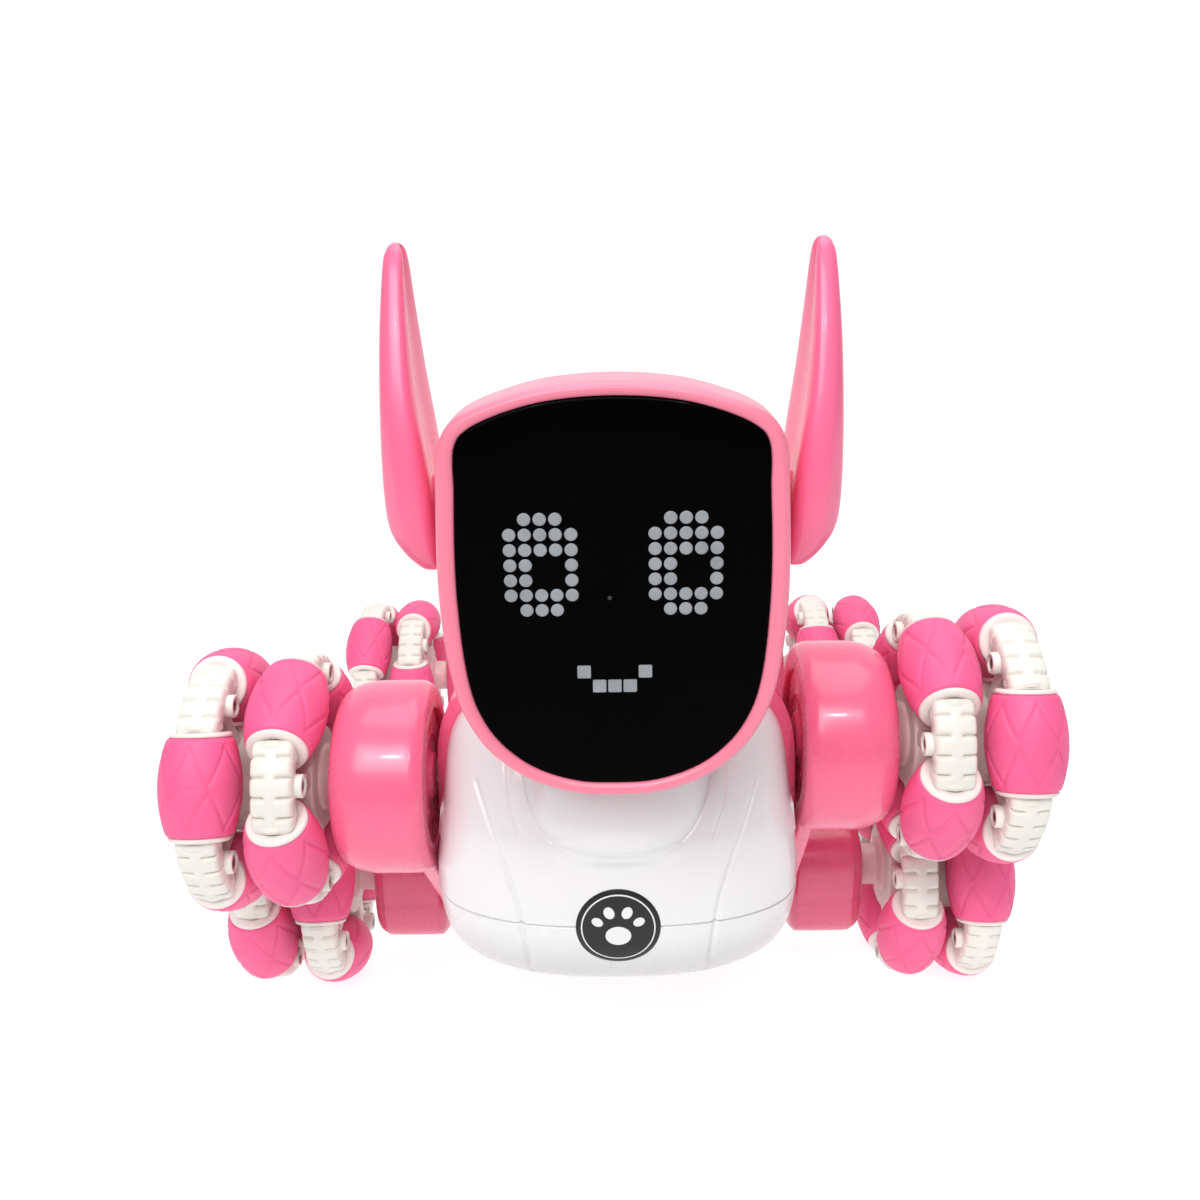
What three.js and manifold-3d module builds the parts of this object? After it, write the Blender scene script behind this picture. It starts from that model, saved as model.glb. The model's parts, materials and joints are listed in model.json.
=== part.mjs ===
// Robot dog toy on six omni wheels. Millimetres, +Z up, the nose points along -Y.
// The origin is on the ground, under the middle of the toy. "left" is the dog's own left, +X.
import * as THREE from 'three';
import { mergeVertices } from 'three/addons/utils/BufferGeometryUtils.js';
import Module from 'manifold-3d';

const wasm = await Module();
wasm.setup();

// ---- Driving dimensions -------------------------------------------------------------------
const GAP = 0.3;                       // between pieces that touch
const WALL = 2.4;                      // moulded shells

const WHEEL_R = 38;                    // rolling radius of every wheel
const ROLLER_ORBIT = 27;               // wheel axis to roller axis
const ROLLER_HALF = 14.5;              // half length of a roller
const ROLLERS_PER_ROW = 4;
const ROW_PITCH = 21.2;                // between the two rows of a wheel
const PIN_R = 1.6;
const HUB_R = 15;
const HUB_HALF = 16.6;
const SEGMENT_R = 36.4;
const SEGMENT_WIDTH = 12;
const SPOKE_HALF = 2.2;                // between the ends of two rollers
const STUB_R = 7.1;

const WHEELBASE_FRONT_MID = 51;        // the front axle is ahead of the middle axle at rest
const WHEELBASE_MID_REAR = 186.4;
const ARM_LENGTH = 84.5;               // middle axle to front axle
const NOSE_REACH = 62;                 // the face is this far ahead of the front axle at rest
const TAIL_Y = (NOSE_REACH + WHEELBASE_FRONT_MID + WHEELBASE_MID_REAR + WHEEL_R) / 2;
const REAR_Y = TAIL_Y - WHEEL_R;
const MID_Y = REAR_Y - WHEELBASE_MID_REAR;
const NOSE_Y = -TAIL_Y;
const FRONT_TRACK = 101.5;             // half distances between wheel centres
const GROUND_TRACK = 108.7;
const ARM_ANGLE = { left: 57, right: 49 };   // degrees above level

const ARM_INNER_X = 52.6;
const ARM_PLATE = 5;
const DRUM_R = 27.8;
const DRUM_OUTER_X = 79;
const ARM_EYE_R = 17;
const SPIGOT_R = 10;                   // hollow pivot of the arm, part of the leg housing
const LEG_INNER_X = 58.4;
const LEG_OUTER_X = 83;
const LEG_HALF = 20.6;

const BODY_HALF = 52;
const FLOOR_Z = 28;
const SEAM_Z = 73;                     // white lower shell below, chest cover above
const COVER_TOP_Z = 132;
const CHEST_Y = NOSE_Y + 22;           // front of the chest
const BOWL_Y = CHEST_Y + 25;
const BOWL_R = 26;
const BOWL_TOP_Z = 118;
const COVER_SPLIT_Y = CHEST_Y + 34;    // chest cover in front, back cover behind
const BODY_BACK_Y = REAR_Y + 12;

const HEAD_HALF = 39.9;
const HEAD_BOTTOM_Z = 123.6;
const HEAD_HEIGHT = 98.6;
const FRAME_DEPTH = 19;
const HEAD_DEPTH = 40;
const LENS_THICK = 2.6;
const NECK_Y = NOSE_Y + 51;
const NECK_R = 11;

const EAR_PIVOT = [44.6, NOSE_Y + 26, 188.8];
const EAR_TIP_Z = 251;
const EAR_FOOT_Z = 174;

const BATTERY = [56, 92, 30];
const BATTERY_Y = MID_Y + 96;
const SWITCH_Y = MID_Y + 30;

// ---- Solids -------------------------------------------------------------------------------
const rad = THREE.MathUtils.degToRad;

function solid(geometry) {
  const bare = geometry.clone();
  bare.deleteAttribute('normal');
  bare.deleteAttribute('uv');
  const merged = mergeVertices(bare, 1e-4);
  return new wasm.Manifold(new wasm.Mesh({
    numProp: 3,
    vertProperties: new Float32Array(merged.attributes.position.array),
    triVerts: new Uint32Array(merged.index.array),
  }));
}

function geometryOf(manifold) {
  const mesh = manifold.getMesh();
  const geometry = new THREE.BufferGeometry();
  geometry.setAttribute('position', new THREE.BufferAttribute(new Float32Array(mesh.vertProperties), 3));
  geometry.setIndex(new THREE.BufferAttribute(new Uint32Array(mesh.triVerts), 1));
  return geometry;
}

function join(...parts) {
  return parts.reduce((sum, part) => sum.add(part));
}

function box(x0, x1, y0, y1, z0, z1) {
  const geometry = new THREE.BoxGeometry(x1 - x0, y1 - y0, z1 - z0);
  return solid(geometry.translate((x0 + x1) / 2, (y0 + y1) / 2, (z0 + z1) / 2));
}

// A cylinder from one place to another along X, Y or Z.
function rod(axis, radius, from, to, at, sides = 20) {
  const geometry = new THREE.CylinderGeometry(radius, radius, to - from, sides);
  if (axis === 'x') geometry.rotateZ(-Math.PI / 2).translate((from + to) / 2, at[0], at[1]);
  if (axis === 'y') geometry.translate(at[0], (from + to) / 2, at[1]);
  if (axis === 'z') geometry.rotateX(Math.PI / 2).translate(at[0], at[1], (from + to) / 2);
  return solid(geometry);
}

// A turned solid about the X axis. Profile points are [radius, x].
function turned(profile, at, sides = 28) {
  const points = profile.map(([r, x]) => new THREE.Vector2(r, x));
  const geometry = new THREE.LatheGeometry(points, sides);
  return solid(geometry.rotateZ(-Math.PI / 2).translate(0, at[0], at[1]));
}

// An outline drawn in (Y, Z), pushed along X from x0 to x1.
function pushX(shape, x0, x1, options = {}) {
  const bevel = options.bevel ?? 0;
  const geometry = new THREE.ExtrudeGeometry(shape, {
    depth: x1 - x0 - 2 * bevel,
    bevelEnabled: bevel > 0,
    bevelThickness: bevel,
    bevelSize: bevel,
    bevelOffset: -bevel,
    bevelSegments: options.bevelSegments ?? 2,
    curveSegments: options.curve ?? 6,
  });
  geometry.translate(0, 0, x0 + bevel);
  geometry.applyMatrix4(new THREE.Matrix4().makeBasis(
    new THREE.Vector3(0, 1, 0), new THREE.Vector3(0, 0, 1), new THREE.Vector3(1, 0, 0)));
  return solid(geometry);
}

// An outline drawn in (X, Z), pushed along Y from y0 back to y1.
function pushY(shape, y0, y1, options = {}) {
  const bevel = options.bevel ?? 0;
  const geometry = new THREE.ExtrudeGeometry(shape, {
    depth: y1 - y0 - 2 * bevel,
    bevelEnabled: bevel > 0,
    bevelThickness: bevel,
    bevelSize: bevel,
    bevelOffset: -bevel,
    bevelSegments: options.bevelSegments ?? 2,
    curveSegments: options.curve ?? 6,
  });
  geometry.translate(0, 0, -y1 + bevel);
  geometry.applyMatrix4(new THREE.Matrix4().makeBasis(
    new THREE.Vector3(1, 0, 0), new THREE.Vector3(0, 0, 1), new THREE.Vector3(0, -1, 0)));
  return solid(geometry);
}

// An outline drawn in (X, Y), pushed up from z0 to z1.
function pushZ(shape, z0, z1, curve = 6) {
  const geometry = new THREE.ExtrudeGeometry(shape, {
    depth: z1 - z0,
    bevelEnabled: false,
    curveSegments: curve,
  });
  return solid(geometry.translate(0, 0, z0));
}

function roundedRect(x0, x1, y0, y1, r) {
  const shape = new THREE.Shape();
  shape.absarc(x1 - r, y0 + r, r, -Math.PI / 2, 0, false);
  shape.absarc(x1 - r, y1 - r, r, 0, Math.PI / 2, false);
  shape.absarc(x0 + r, y1 - r, r, Math.PI / 2, Math.PI, false);
  shape.absarc(x0 + r, y0 + r, r, Math.PI, 1.5 * Math.PI, false);
  return shape;
}

// ---- Materials ----------------------------------------------------------------------------
const glossPink = { color: 0xfa6e98, roughness: 0.22, metalness: 0 };
const framePink = { color: 0xff8caa, roughness: 0.3, metalness: 0 };
const rubberPink = { color: 0xf55087, roughness: 0.62, metalness: 0 };
const ivory = { color: 0xf5f2eb, roughness: 0.4, metalness: 0 };
const glossWhite = { color: 0xf4f4f6, roughness: 0.2, metalness: 0 };
const blackGloss = { color: 0x050506, roughness: 0.08, metalness: 0 };
const darkPlastic = { color: 0x2a2a2e, roughness: 0.5, metalness: 0 };
const boardGreen = { color: 0x1d6b3c, roughness: 0.5, metalness: 0.1 };

const dog = new THREE.Group();

function piece(name, shape, look, parent = dog) {
  const geometry = shape.isBufferGeometry ? shape : geometryOf(shape);
  const mesh = new THREE.Mesh(geometry, new THREE.MeshStandardMaterial(look));
  mesh.name = name;
  parent.add(mesh);
  return mesh;
}

// ---- Wheels -------------------------------------------------------------------------------
// A wheel is drawn about the X axis with its outer face towards +X and its stub towards -X.

function rollerSolid(bore) {
  const profile = [-1, -0.5, 0, 0.5, 1].map((step) => {
    const u = step * ROLLER_HALF;
    return new THREE.Vector2(Math.sqrt(WHEEL_R ** 2 - u ** 2) - ROLLER_ORBIT, u);
  });
  profile.unshift(new THREE.Vector2(bore, -ROLLER_HALF));
  profile.push(new THREE.Vector2(bore, ROLLER_HALF));
  if (bore > 0) profile.push(profile[0].clone());
  return solid(new THREE.LatheGeometry(profile, 10));
}

function rowOf(x, turn, fixedRollers) {
  const half = SEGMENT_WIDTH / 2;
  const reach = ROLLER_HALF + GAP;
  const bed = ROLLER_ORBIT - (WHEEL_R - ROLLER_ORBIT) - GAP;
  const step = 360 / ROLLERS_PER_ROW;
  let row = rod('x', SEGMENT_R, x - half, x + half, [0, 0], 32);
  const added = [];
  for (let i = 0; i < ROLLERS_PER_ROW; i += 1) {
    const angle = turn + i * step;
    const clearance = box(x - 15, x + 15, bed, 60, -reach, reach).rotate([angle, 0, 0]);
    row = row.subtract(clearance);
    const spoke = box(x - half + 1, x + half - 1, HUB_R - 3, SEGMENT_R - 5, -SPOKE_HALF, SPOKE_HALF);
    added.push(spoke.rotate([angle + step / 2, 0, 0]));
    added.push(rod('z', PIN_R, -reach - 2, reach + 2, [x, ROLLER_ORBIT], 8).rotate([angle, 0, 0]));
    if (fixedRollers) {
      added.push(rollerSolid(0).rotate([90, 0, 0]).translate([x, ROLLER_ORBIT, 0]).rotate([angle, 0, 0]));
    }
  }
  return join(row, ...added);
}

function coreSolid(stubLength, fixedRollers) {
  const rowTurn = 180 / ROLLERS_PER_ROW;
  const hub = rod('x', HUB_R, -HUB_HALF, HUB_HALF, [0, 0], 20);
  const stub = rod('x', STUB_R, -stubLength, -HUB_HALF + 1, [0, 0], 16);
  const outer = rowOf(ROW_PITCH / 2, 0, fixedRollers);
  const inner = rowOf(-ROW_PITCH / 2, rowTurn, fixedRollers);
  return join(hub, stub, outer, inner);
}

// phase: degrees from straight ahead up to the middle of an outer roller.
// The rear wheels have their rollers fixed in the core, which keeps the toy within 60 pieces.
function addWheel(name, side, track, y, z, phase, housingX, fixedRollers = false) {
  const mount = new THREE.Group();
  mount.position.set(side * track, y, z);
  mount.rotation.z = side > 0 ? 0 : Math.PI;
  const spin = new THREE.Group();
  spin.rotation.x = rad(side > 0 ? 180 - phase : phase);
  mount.add(spin);
  dog.add(mount);
  piece(`${name}_wheel`, coreSolid(track - housingX + 4, fixedRollers), ivory, spin);
  if (fixedRollers) return;
  const rows = [['outer', ROW_PITCH / 2, 0], ['inner', -ROW_PITCH / 2, 180 / ROLLERS_PER_ROW]];
  for (const [row, x, turn] of rows) {
    for (let i = 0; i < ROLLERS_PER_ROW; i += 1) {
      const holder = new THREE.Group();
      holder.rotation.x = rad(turn + (i * 360) / ROLLERS_PER_ROW);
      const barrel = geometryOf(rollerSolid(PIN_R + GAP));
      const roller = piece(`${name}_${row}_roller_${i + 1}`, barrel, rubberPink, holder);
      roller.position.set(x, ROLLER_ORBIT, 0);
      roller.rotation.x = Math.PI / 2;
      spin.add(holder);
    }
  }
}

// ---- Front arms ---------------------------------------------------------------------------
// Drawn with the middle axle at the origin and the arm level, pointing to -Y.

function strap(length, nearR, farR) {
  const lean = Math.acos((farR - nearR) / length);
  const shape = new THREE.Shape();
  shape.absarc(-length, 0, farR, Math.PI - (Math.PI - lean), Math.PI + (Math.PI - lean), false);
  shape.absarc(0, 0, nearR, -lean, lean, false);
  return shape;
}

function armSolid(side) {
  const inner = ARM_INNER_X;
  const plateOuter = inner + ARM_PLATE;
  const plate = pushX(strap(ARM_LENGTH, ARM_EYE_R, DRUM_R - 0.6), inner, plateOuter, { curve: 10 });
  const drumProfile = [
    [0, plateOuter - 1], [DRUM_R, plateOuter - 1], [DRUM_R, DRUM_OUTER_X - 6],
    [DRUM_R - 1.8, DRUM_OUTER_X - 1.8], [DRUM_R - 6, DRUM_OUTER_X], [0, DRUM_OUTER_X],
  ];
  const axle = [-ARM_LENGTH, 0];
  const drum = turned(drumProfile, axle, 30);
  const recess = rod('x', 19, inner - 1, inner + 1.6, axle, 20);
  const boss = rod('x', 7, inner + 0.4, inner + 3, axle, 16);
  const eye = rod('x', SPIGOT_R + GAP, inner - 1, plateOuter + 1, [0, 0], 24);
  const bearing = rod('x', STUB_R + GAP, DRUM_OUTER_X - 5, DRUM_OUTER_X + 1, axle, 16);
  const arm = join(plate, drum).subtract(recess).add(boss).subtract(eye).subtract(bearing);
  return side > 0 ? arm : arm.mirror([1, 0, 0]);
}

function addArm(name, side) {
  const holder = new THREE.Group();
  holder.position.set(0, MID_Y, WHEEL_R);
  holder.rotation.x = -rad(ARM_ANGLE[name]);
  dog.add(holder);
  piece(`front_arm_${name}`, armSolid(side), glossPink, holder);
}

// ---- Leg housings -------------------------------------------------------------------------
function legSolid(side, y, inner) {
  const outline = roundedRect(y - LEG_HALF, y + LEG_HALF, WHEEL_R - LEG_HALF, WHEEL_R + LEG_HALF, 15);
  const housing = pushX(outline, inner, LEG_OUTER_X, { bevel: 4, bevelSegments: 1, curve: 4 });
  const bearing = rod('x', STUB_R + GAP, LEG_OUTER_X - 5, LEG_OUTER_X + 1, [y, WHEEL_R], 16);
  const spigot = rod('x', SPIGOT_R, BODY_HALF + GAP, inner + 5, [y, WHEEL_R], 24);
  const leg = join(housing, spigot).subtract(bearing);
  return side > 0 ? leg : leg.mirror([1, 0, 0]);
}

// ---- Body shells --------------------------------------------------------------------------
// The body is where three outlines meet: seen from the side, from above and from the front.

function bodySide(inset) {
  const shape = new THREE.Shape();
  const back = BODY_BACK_Y - inset;
  const floor = FLOOR_Z + inset;
  const front = CHEST_Y + inset;
  const top = COVER_TOP_Z - inset;
  shape.moveTo(CHEST_Y + 62, floor);
  shape.lineTo(back - 24, floor);
  shape.quadraticCurveTo(back - 2, floor, back, SEAM_Z - 12);
  shape.lineTo(back, SEAM_Z + 8);
  shape.quadraticCurveTo(back - 4, top - 24, back - 48, top - 15);
  shape.lineTo(CHEST_Y + 74, top - 1);
  shape.quadraticCurveTo(CHEST_Y + 44, top + 2, CHEST_Y + 27, top - 3);
  shape.quadraticCurveTo(front + 12, top - 12, front + 4, SEAM_Z + 24);
  shape.lineTo(front, SEAM_Z + 2);
  shape.quadraticCurveTo(front - 0.5, SEAM_Z - 14, front + 8, SEAM_Z - 22);
  shape.quadraticCurveTo(CHEST_Y + 26, floor + 11, CHEST_Y + 62, floor);
  return shape;
}

function bodyPlan(inset) {
  const shape = new THREE.Shape();
  const half = BODY_HALF - inset;
  const front = CHEST_Y + inset;
  const back = BODY_BACK_Y - inset;
  shape.moveTo(0, front);
  shape.quadraticCurveTo(34, front + 1, half - 4, front + 14);
  shape.quadraticCurveTo(half, front + 18, half, front + 28);
  shape.lineTo(half, back - 30);
  shape.quadraticCurveTo(half, back, 18, back);
  shape.lineTo(-18, back);
  shape.quadraticCurveTo(-half, back, -half, back - 30);
  shape.lineTo(-half, front + 28);
  shape.quadraticCurveTo(-half, front + 18, -half + 4, front + 14);
  shape.quadraticCurveTo(-34, front + 1, 0, front);
  return shape;
}

// top: half width at the top edge, before its rounding; corner: size of that rounding
function bodyFront(inset, top, corner) {
  const shape = new THREE.Shape();
  const half = BODY_HALF - inset;
  const floor = FLOOR_Z + inset;
  const roof = COVER_TOP_Z + 2 - inset;
  const upper = top - inset;
  shape.moveTo(-half + 14, floor);
  shape.lineTo(half - 14, floor);
  shape.quadraticCurveTo(half, floor, half, floor + 16);
  shape.lineTo(half, SEAM_Z + 8);
  shape.lineTo(upper, roof - corner);
  shape.quadraticCurveTo(upper - 2, roof, upper - corner - 2, roof);
  shape.lineTo(-upper + corner + 2, roof);
  shape.quadraticCurveTo(-upper + 2, roof, -upper, roof - corner);
  shape.lineTo(-half, SEAM_Z + 8);
  shape.lineTo(-half, floor + 16);
  shape.quadraticCurveTo(-half, floor, -half + 14, floor);
  return shape;
}

function bodySolid(inset, top, corner) {
  const side = pushX(bodySide(inset), -80, 80, { curve: 5 });
  const plan = pushZ(bodyPlan(inset), 0, 200, 5);
  const front = pushY(bodyFront(inset, top, corner), NOSE_Y - 20, TAIL_Y + 20, { curve: 5 });
  return side.intersect(plan).intersect(front);
}

// The bowl under the chin, proud of the chest.
function bowl(inset) {
  const profile = [
    [0, BOWL_TOP_Z - 27 + inset], [12 - inset, BOWL_TOP_Z - 24 + inset], [20 - inset, BOWL_TOP_Z - 15],
    [24.6 - inset, BOWL_TOP_Z - 5], [BOWL_R - inset, BOWL_TOP_Z], [0, BOWL_TOP_Z],
  ];
  const points = profile.map(([r, z]) => new THREE.Vector2(Math.max(r, 0), z));
  const geometry = new THREE.LatheGeometry(points, 24);
  return solid(geometry.rotateX(Math.PI / 2).translate(0, BOWL_Y, 0));
}

function addBody() {
  // half width at the top edge, and its rounding
  const coverTop = [51.5, 12];
  const chestTop = [46.5, 20];
  const cover = bodySolid(0, ...coverTop).subtract(bodySolid(WALL, ...coverTop));
  const chest = bodySolid(0, ...chestTop).subtract(bodySolid(WALL, ...chestTop));
  const below = box(-90, 90, -300, 300, 0, SEAM_Z - GAP / 2);
  const above = box(-90, 90, -300, 300, SEAM_Z + GAP / 2, 200);
  const ahead = box(-90, 90, -300, COVER_SPLIT_Y - GAP / 2, 0, 200);
  const behind = box(-90, 90, COVER_SPLIT_Y + GAP / 2, 300, 0, 200);

  const slot = box(-BATTERY[0] / 2 - GAP, BATTERY[0] / 2 + GAP,
    BATTERY_Y - BATTERY[1] / 2 - GAP, BATTERY_Y + BATTERY[1] / 2 + GAP, 0, FLOOR_Z + 10);
  const switchSlot = box(-7, 7, SWITCH_Y - 2.6, SWITCH_Y + 2.6, 0, FLOOR_Z + 10);
  piece('lower_shell', cover.intersect(below).subtract(slot).subtract(switchSlot), glossWhite);

  const neckHole = rod('z', NECK_R + 1, SEAM_Z + 12, 180, [0, NECK_Y], 24);
  const bib = bowl(0).subtract(bowl(WALL)).subtract(bodySolid(WALL, ...chestTop));
  const chestShell = chest.intersect(above).intersect(ahead).add(bib).subtract(neckHole);
  piece('chest_cover', chestShell, glossWhite);
  piece('back_cover', cover.intersect(above).intersect(behind).subtract(neckHole), framePink);

  const pack = box(-BATTERY[0] / 2, BATTERY[0] / 2, BATTERY_Y - BATTERY[1] / 2, BATTERY_Y + BATTERY[1] / 2,
    FLOOR_Z, FLOOR_Z + BATTERY[2]);
  piece('battery_pack', pack, darkPlastic);
  const boardZ = FLOOR_Z + BATTERY[2] + 8;
  const board = box(-32, 32, BATTERY_Y - 52, BATTERY_Y + 40, boardZ, boardZ + 1.6);
  const chip = box(-9, 9, BATTERY_Y - 20, BATTERY_Y - 2, boardZ + 1, boardZ + 4);
  const plug = box(-24, -8, BATTERY_Y + 22, BATTERY_Y + 36, boardZ + 1, boardZ + 11);
  piece('main_board', join(board, chip, plug), boardGreen);

  const knob = box(-4, 1, SWITCH_Y - 2.2, SWITCH_Y + 2.2, FLOOR_Z - 0.8, FLOOR_Z + 4);
  const slider = box(-9.4, 6.4, SWITCH_Y - 4.5, SWITCH_Y + 4.5, FLOOR_Z + WALL + GAP, FLOOR_Z + 5);
  piece('power_switch', join(knob, slider), darkPlastic);
}

// ---- Head ---------------------------------------------------------------------------------
// The face is a shield: wide at the eyes, narrow at the chin.

function shield(inset) {
  const half = HEAD_HALF - inset;
  const chin = HEAD_BOTTOM_Z + inset;
  const crown = HEAD_BOTTOM_Z + HEAD_HEIGHT - inset;
  const shape = new THREE.Shape();
  const right = [
    [half * 0.36, chin + 1.4], [half * 0.66, chin + 9], [half * 0.92, chin + 29],
    [half, chin + 56], [half * 0.99, chin + 73], [half * 0.95, crown - 10.5],
  ];
  shape.moveTo(0, chin);
  shape.quadraticCurveTo(half * 0.22, chin, right[0][0], right[0][1]);
  shape.quadraticCurveTo(half * 0.54, chin + 3.4, right[1][0], right[1][1]);
  shape.quadraticCurveTo(half * 0.8, chin + 16.5, right[2][0], right[2][1]);
  shape.quadraticCurveTo(half * 0.985, chin + 42.5, right[3][0], right[3][1]);
  shape.quadraticCurveTo(half * 1.01, chin + 65, right[4][0], right[4][1]);
  shape.quadraticCurveTo(half * 0.985, crown - 14, right[5][0], right[5][1]);
  shape.quadraticCurveTo(half * 0.66, crown, 0, crown);
  shape.quadraticCurveTo(-half * 0.66, crown, -right[5][0], right[5][1]);
  shape.quadraticCurveTo(-half * 0.985, crown - 14, -right[4][0], right[4][1]);
  shape.quadraticCurveTo(-half * 1.01, chin + 65, -right[3][0], right[3][1]);
  shape.quadraticCurveTo(-half * 0.985, chin + 42.5, -right[2][0], right[2][1]);
  shape.quadraticCurveTo(-half * 0.8, chin + 16.5, -right[1][0], right[1][1]);
  shape.quadraticCurveTo(-half * 0.54, chin + 3.4, -right[0][0], right[0][1]);
  shape.quadraticCurveTo(-half * 0.22, chin, 0, chin);
  return shape;
}

// The back of the head is the shield rounded off from the sides and from above.
function backCup(inset) {
  const front = NOSE_Y + FRAME_DEPTH - 12;
  const back = NOSE_Y + HEAD_DEPTH - inset;
  const half = HEAD_HALF - inset;
  const low = HEAD_BOTTOM_Z + inset;
  const high = HEAD_BOTTOM_Z + HEAD_HEIGHT - inset;
  const plan = new THREE.Shape();
  plan.moveTo(-half, front);
  plan.lineTo(half, front);
  plan.lineTo(half, back - 16);
  plan.quadraticCurveTo(half - 2, back, half - 20, back);
  plan.lineTo(-half + 20, back);
  plan.quadraticCurveTo(-half + 2, back, -half, back - 16);
  const side = new THREE.Shape();
  side.moveTo(front, low);
  side.quadraticCurveTo(back - 2, low + 2, back, low + 30);
  side.lineTo(back, high - 26);
  side.quadraticCurveTo(back - 1, high - 2, front, high);
  return pushY(shield(inset + 0.8), front, back, { curve: 3 })
    .intersect(pushZ(plan, 0, 300, 4))
    .intersect(pushX(side, -90, 90, { curve: 4 }));
}

function addHead() {
  const front = NOSE_Y;
  const joint = front + FRAME_DEPTH;
  const back = front + HEAD_DEPTH;
  const bezel = 4.6;

  const frameBlank = pushY(shield(0), front, joint + 3, { bevel: 3, bevelSegments: 1, curve: 3 })
    .intersect(box(-90, 90, front - 1, joint - GAP / 2, 0, 300));
  const pocket = pushY(shield(bezel - GAP), front - 1, front + 1 + LENS_THICK + GAP, { curve: 3 });
  const window = pushY(shield(bezel + 4), front - 1, front + 10, { curve: 3 });
  const hollow = pushY(shield(3), front + 7, joint + 1, { curve: 3 });
  piece('head_frame', frameBlank.subtract(pocket).subtract(window).subtract(hollow), framePink);
  piece('display_lens', pushY(shield(bezel), front + 1, front + 1 + LENS_THICK, { curve: 3 }), blackGloss);

  const ahead = box(-90, 90, joint + GAP / 2, back + 1, 0, 300);
  const cavity = backCup(3).intersect(box(-90, 90, joint - 1, back - 3, 0, 300));
  const backBlank = backCup(0).intersect(ahead);
  piece('head_back', backBlank.subtract(cavity), framePink);

  const post = rod('z', NECK_R, SEAM_Z + 22, HEAD_BOTTOM_Z + 40, [0, NECK_Y], 24);
  const lug = box(-NECK_R, NECK_R, back + GAP, NECK_Y, HEAD_BOTTOM_Z + 16, HEAD_BOTTOM_Z + 40);
  piece('neck_post', join(post, lug), ivory);
}

function earSolid(side) {
  const [x, y, z] = EAR_PIVOT;
  const shape = new THREE.Shape();
  const foot = [y - 3, EAR_FOOT_Z];
  shape.moveTo(...foot);
  shape.quadraticCurveTo(y + 12, EAR_FOOT_Z + 3, y + 19, z);
  shape.quadraticCurveTo(y + 24, z + 24, y + 15, z + 47);
  shape.quadraticCurveTo(y + 11, EAR_TIP_Z - 1, y + 7, EAR_TIP_Z);
  shape.quadraticCurveTo(y + 3, EAR_TIP_Z - 1, y - 6, z + 47);
  shape.quadraticCurveTo(y - 17, z + 24, y - 16, z);
  shape.quadraticCurveTo(y - 14, EAR_FOOT_Z + 3, ...foot);
  const blade = pushX(shape, x + 2, x + 9, { bevel: 2.4, curve: 4 });
  const boss = rod('x', 9.5, x - 3.4, x + 4, [y, z], 20);
  const ear = join(blade, boss);
  return side > 0 ? ear : ear.mirror([1, 0, 0]);
}

// ---- Assembly -----------------------------------------------------------------------------
addBody();
addHead();

const sides = [['left', 1], ['right', -1]];
const wheelPhase = {
  front: { left: 19, right: 21.5 },
  mid: { left: 21, right: -20 },
  rear: { left: 79.5, right: 50 },
};
for (const [name, side] of sides) {
  const angle = rad(ARM_ANGLE[name]);
  const frontY = MID_Y - ARM_LENGTH * Math.cos(angle);
  const frontZ = WHEEL_R + ARM_LENGTH * Math.sin(angle);
  piece(`ear_${name}`, earSolid(side), glossPink);
  addArm(name, side);
  piece(`mid_leg_${name}`, legSolid(side, MID_Y, LEG_INNER_X), glossPink);
  piece(`rear_leg_${name}`, legSolid(side, REAR_Y, BODY_HALF + 1), glossPink);
  addWheel(`front_${name}`, side, FRONT_TRACK, frontY, frontZ, wheelPhase.front[name], DRUM_OUTER_X);
  addWheel(`mid_${name}`, side, GROUND_TRACK, MID_Y, WHEEL_R, wheelPhase.mid[name], LEG_OUTER_X);
  addWheel(`rear_${name}`, side, GROUND_TRACK, REAR_Y, WHEEL_R, wheelPhase.rear[name], LEG_OUTER_X, true);
}

export default dog;
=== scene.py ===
# Robot dog toy on six omni wheels: the looks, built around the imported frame.
# Lengths are in millimetres; MM turns them into metres when a mesh is made.
import json
import math

import bmesh
import bpy
import numpy as np
from mathutils import Matrix, Vector


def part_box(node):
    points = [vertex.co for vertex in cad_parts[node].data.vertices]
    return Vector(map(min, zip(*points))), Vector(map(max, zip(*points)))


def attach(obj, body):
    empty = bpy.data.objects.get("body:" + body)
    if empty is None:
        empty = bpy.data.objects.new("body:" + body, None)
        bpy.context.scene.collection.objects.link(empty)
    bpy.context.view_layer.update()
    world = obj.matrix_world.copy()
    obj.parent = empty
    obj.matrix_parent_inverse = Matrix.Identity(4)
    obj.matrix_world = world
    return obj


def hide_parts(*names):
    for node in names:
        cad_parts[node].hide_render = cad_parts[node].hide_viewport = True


MM = 0.001
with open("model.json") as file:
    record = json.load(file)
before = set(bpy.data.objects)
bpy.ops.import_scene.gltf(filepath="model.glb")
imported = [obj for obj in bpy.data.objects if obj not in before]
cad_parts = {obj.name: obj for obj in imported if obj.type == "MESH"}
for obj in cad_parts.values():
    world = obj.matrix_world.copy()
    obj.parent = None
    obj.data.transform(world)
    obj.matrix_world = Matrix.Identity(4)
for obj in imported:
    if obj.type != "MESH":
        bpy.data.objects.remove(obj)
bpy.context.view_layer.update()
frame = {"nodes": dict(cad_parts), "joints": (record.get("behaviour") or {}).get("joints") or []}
JOINTS = {joint["name"]: joint for joint in frame["joints"]}
SIDES = {"left": 1, "right": -1}


def low(node):
    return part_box(node)[0] / MM


def high(node):
    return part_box(node)[1] / MM


def joint_at(name):
    return Vector(JOINTS[name]["pos_m"]) / MM


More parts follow.
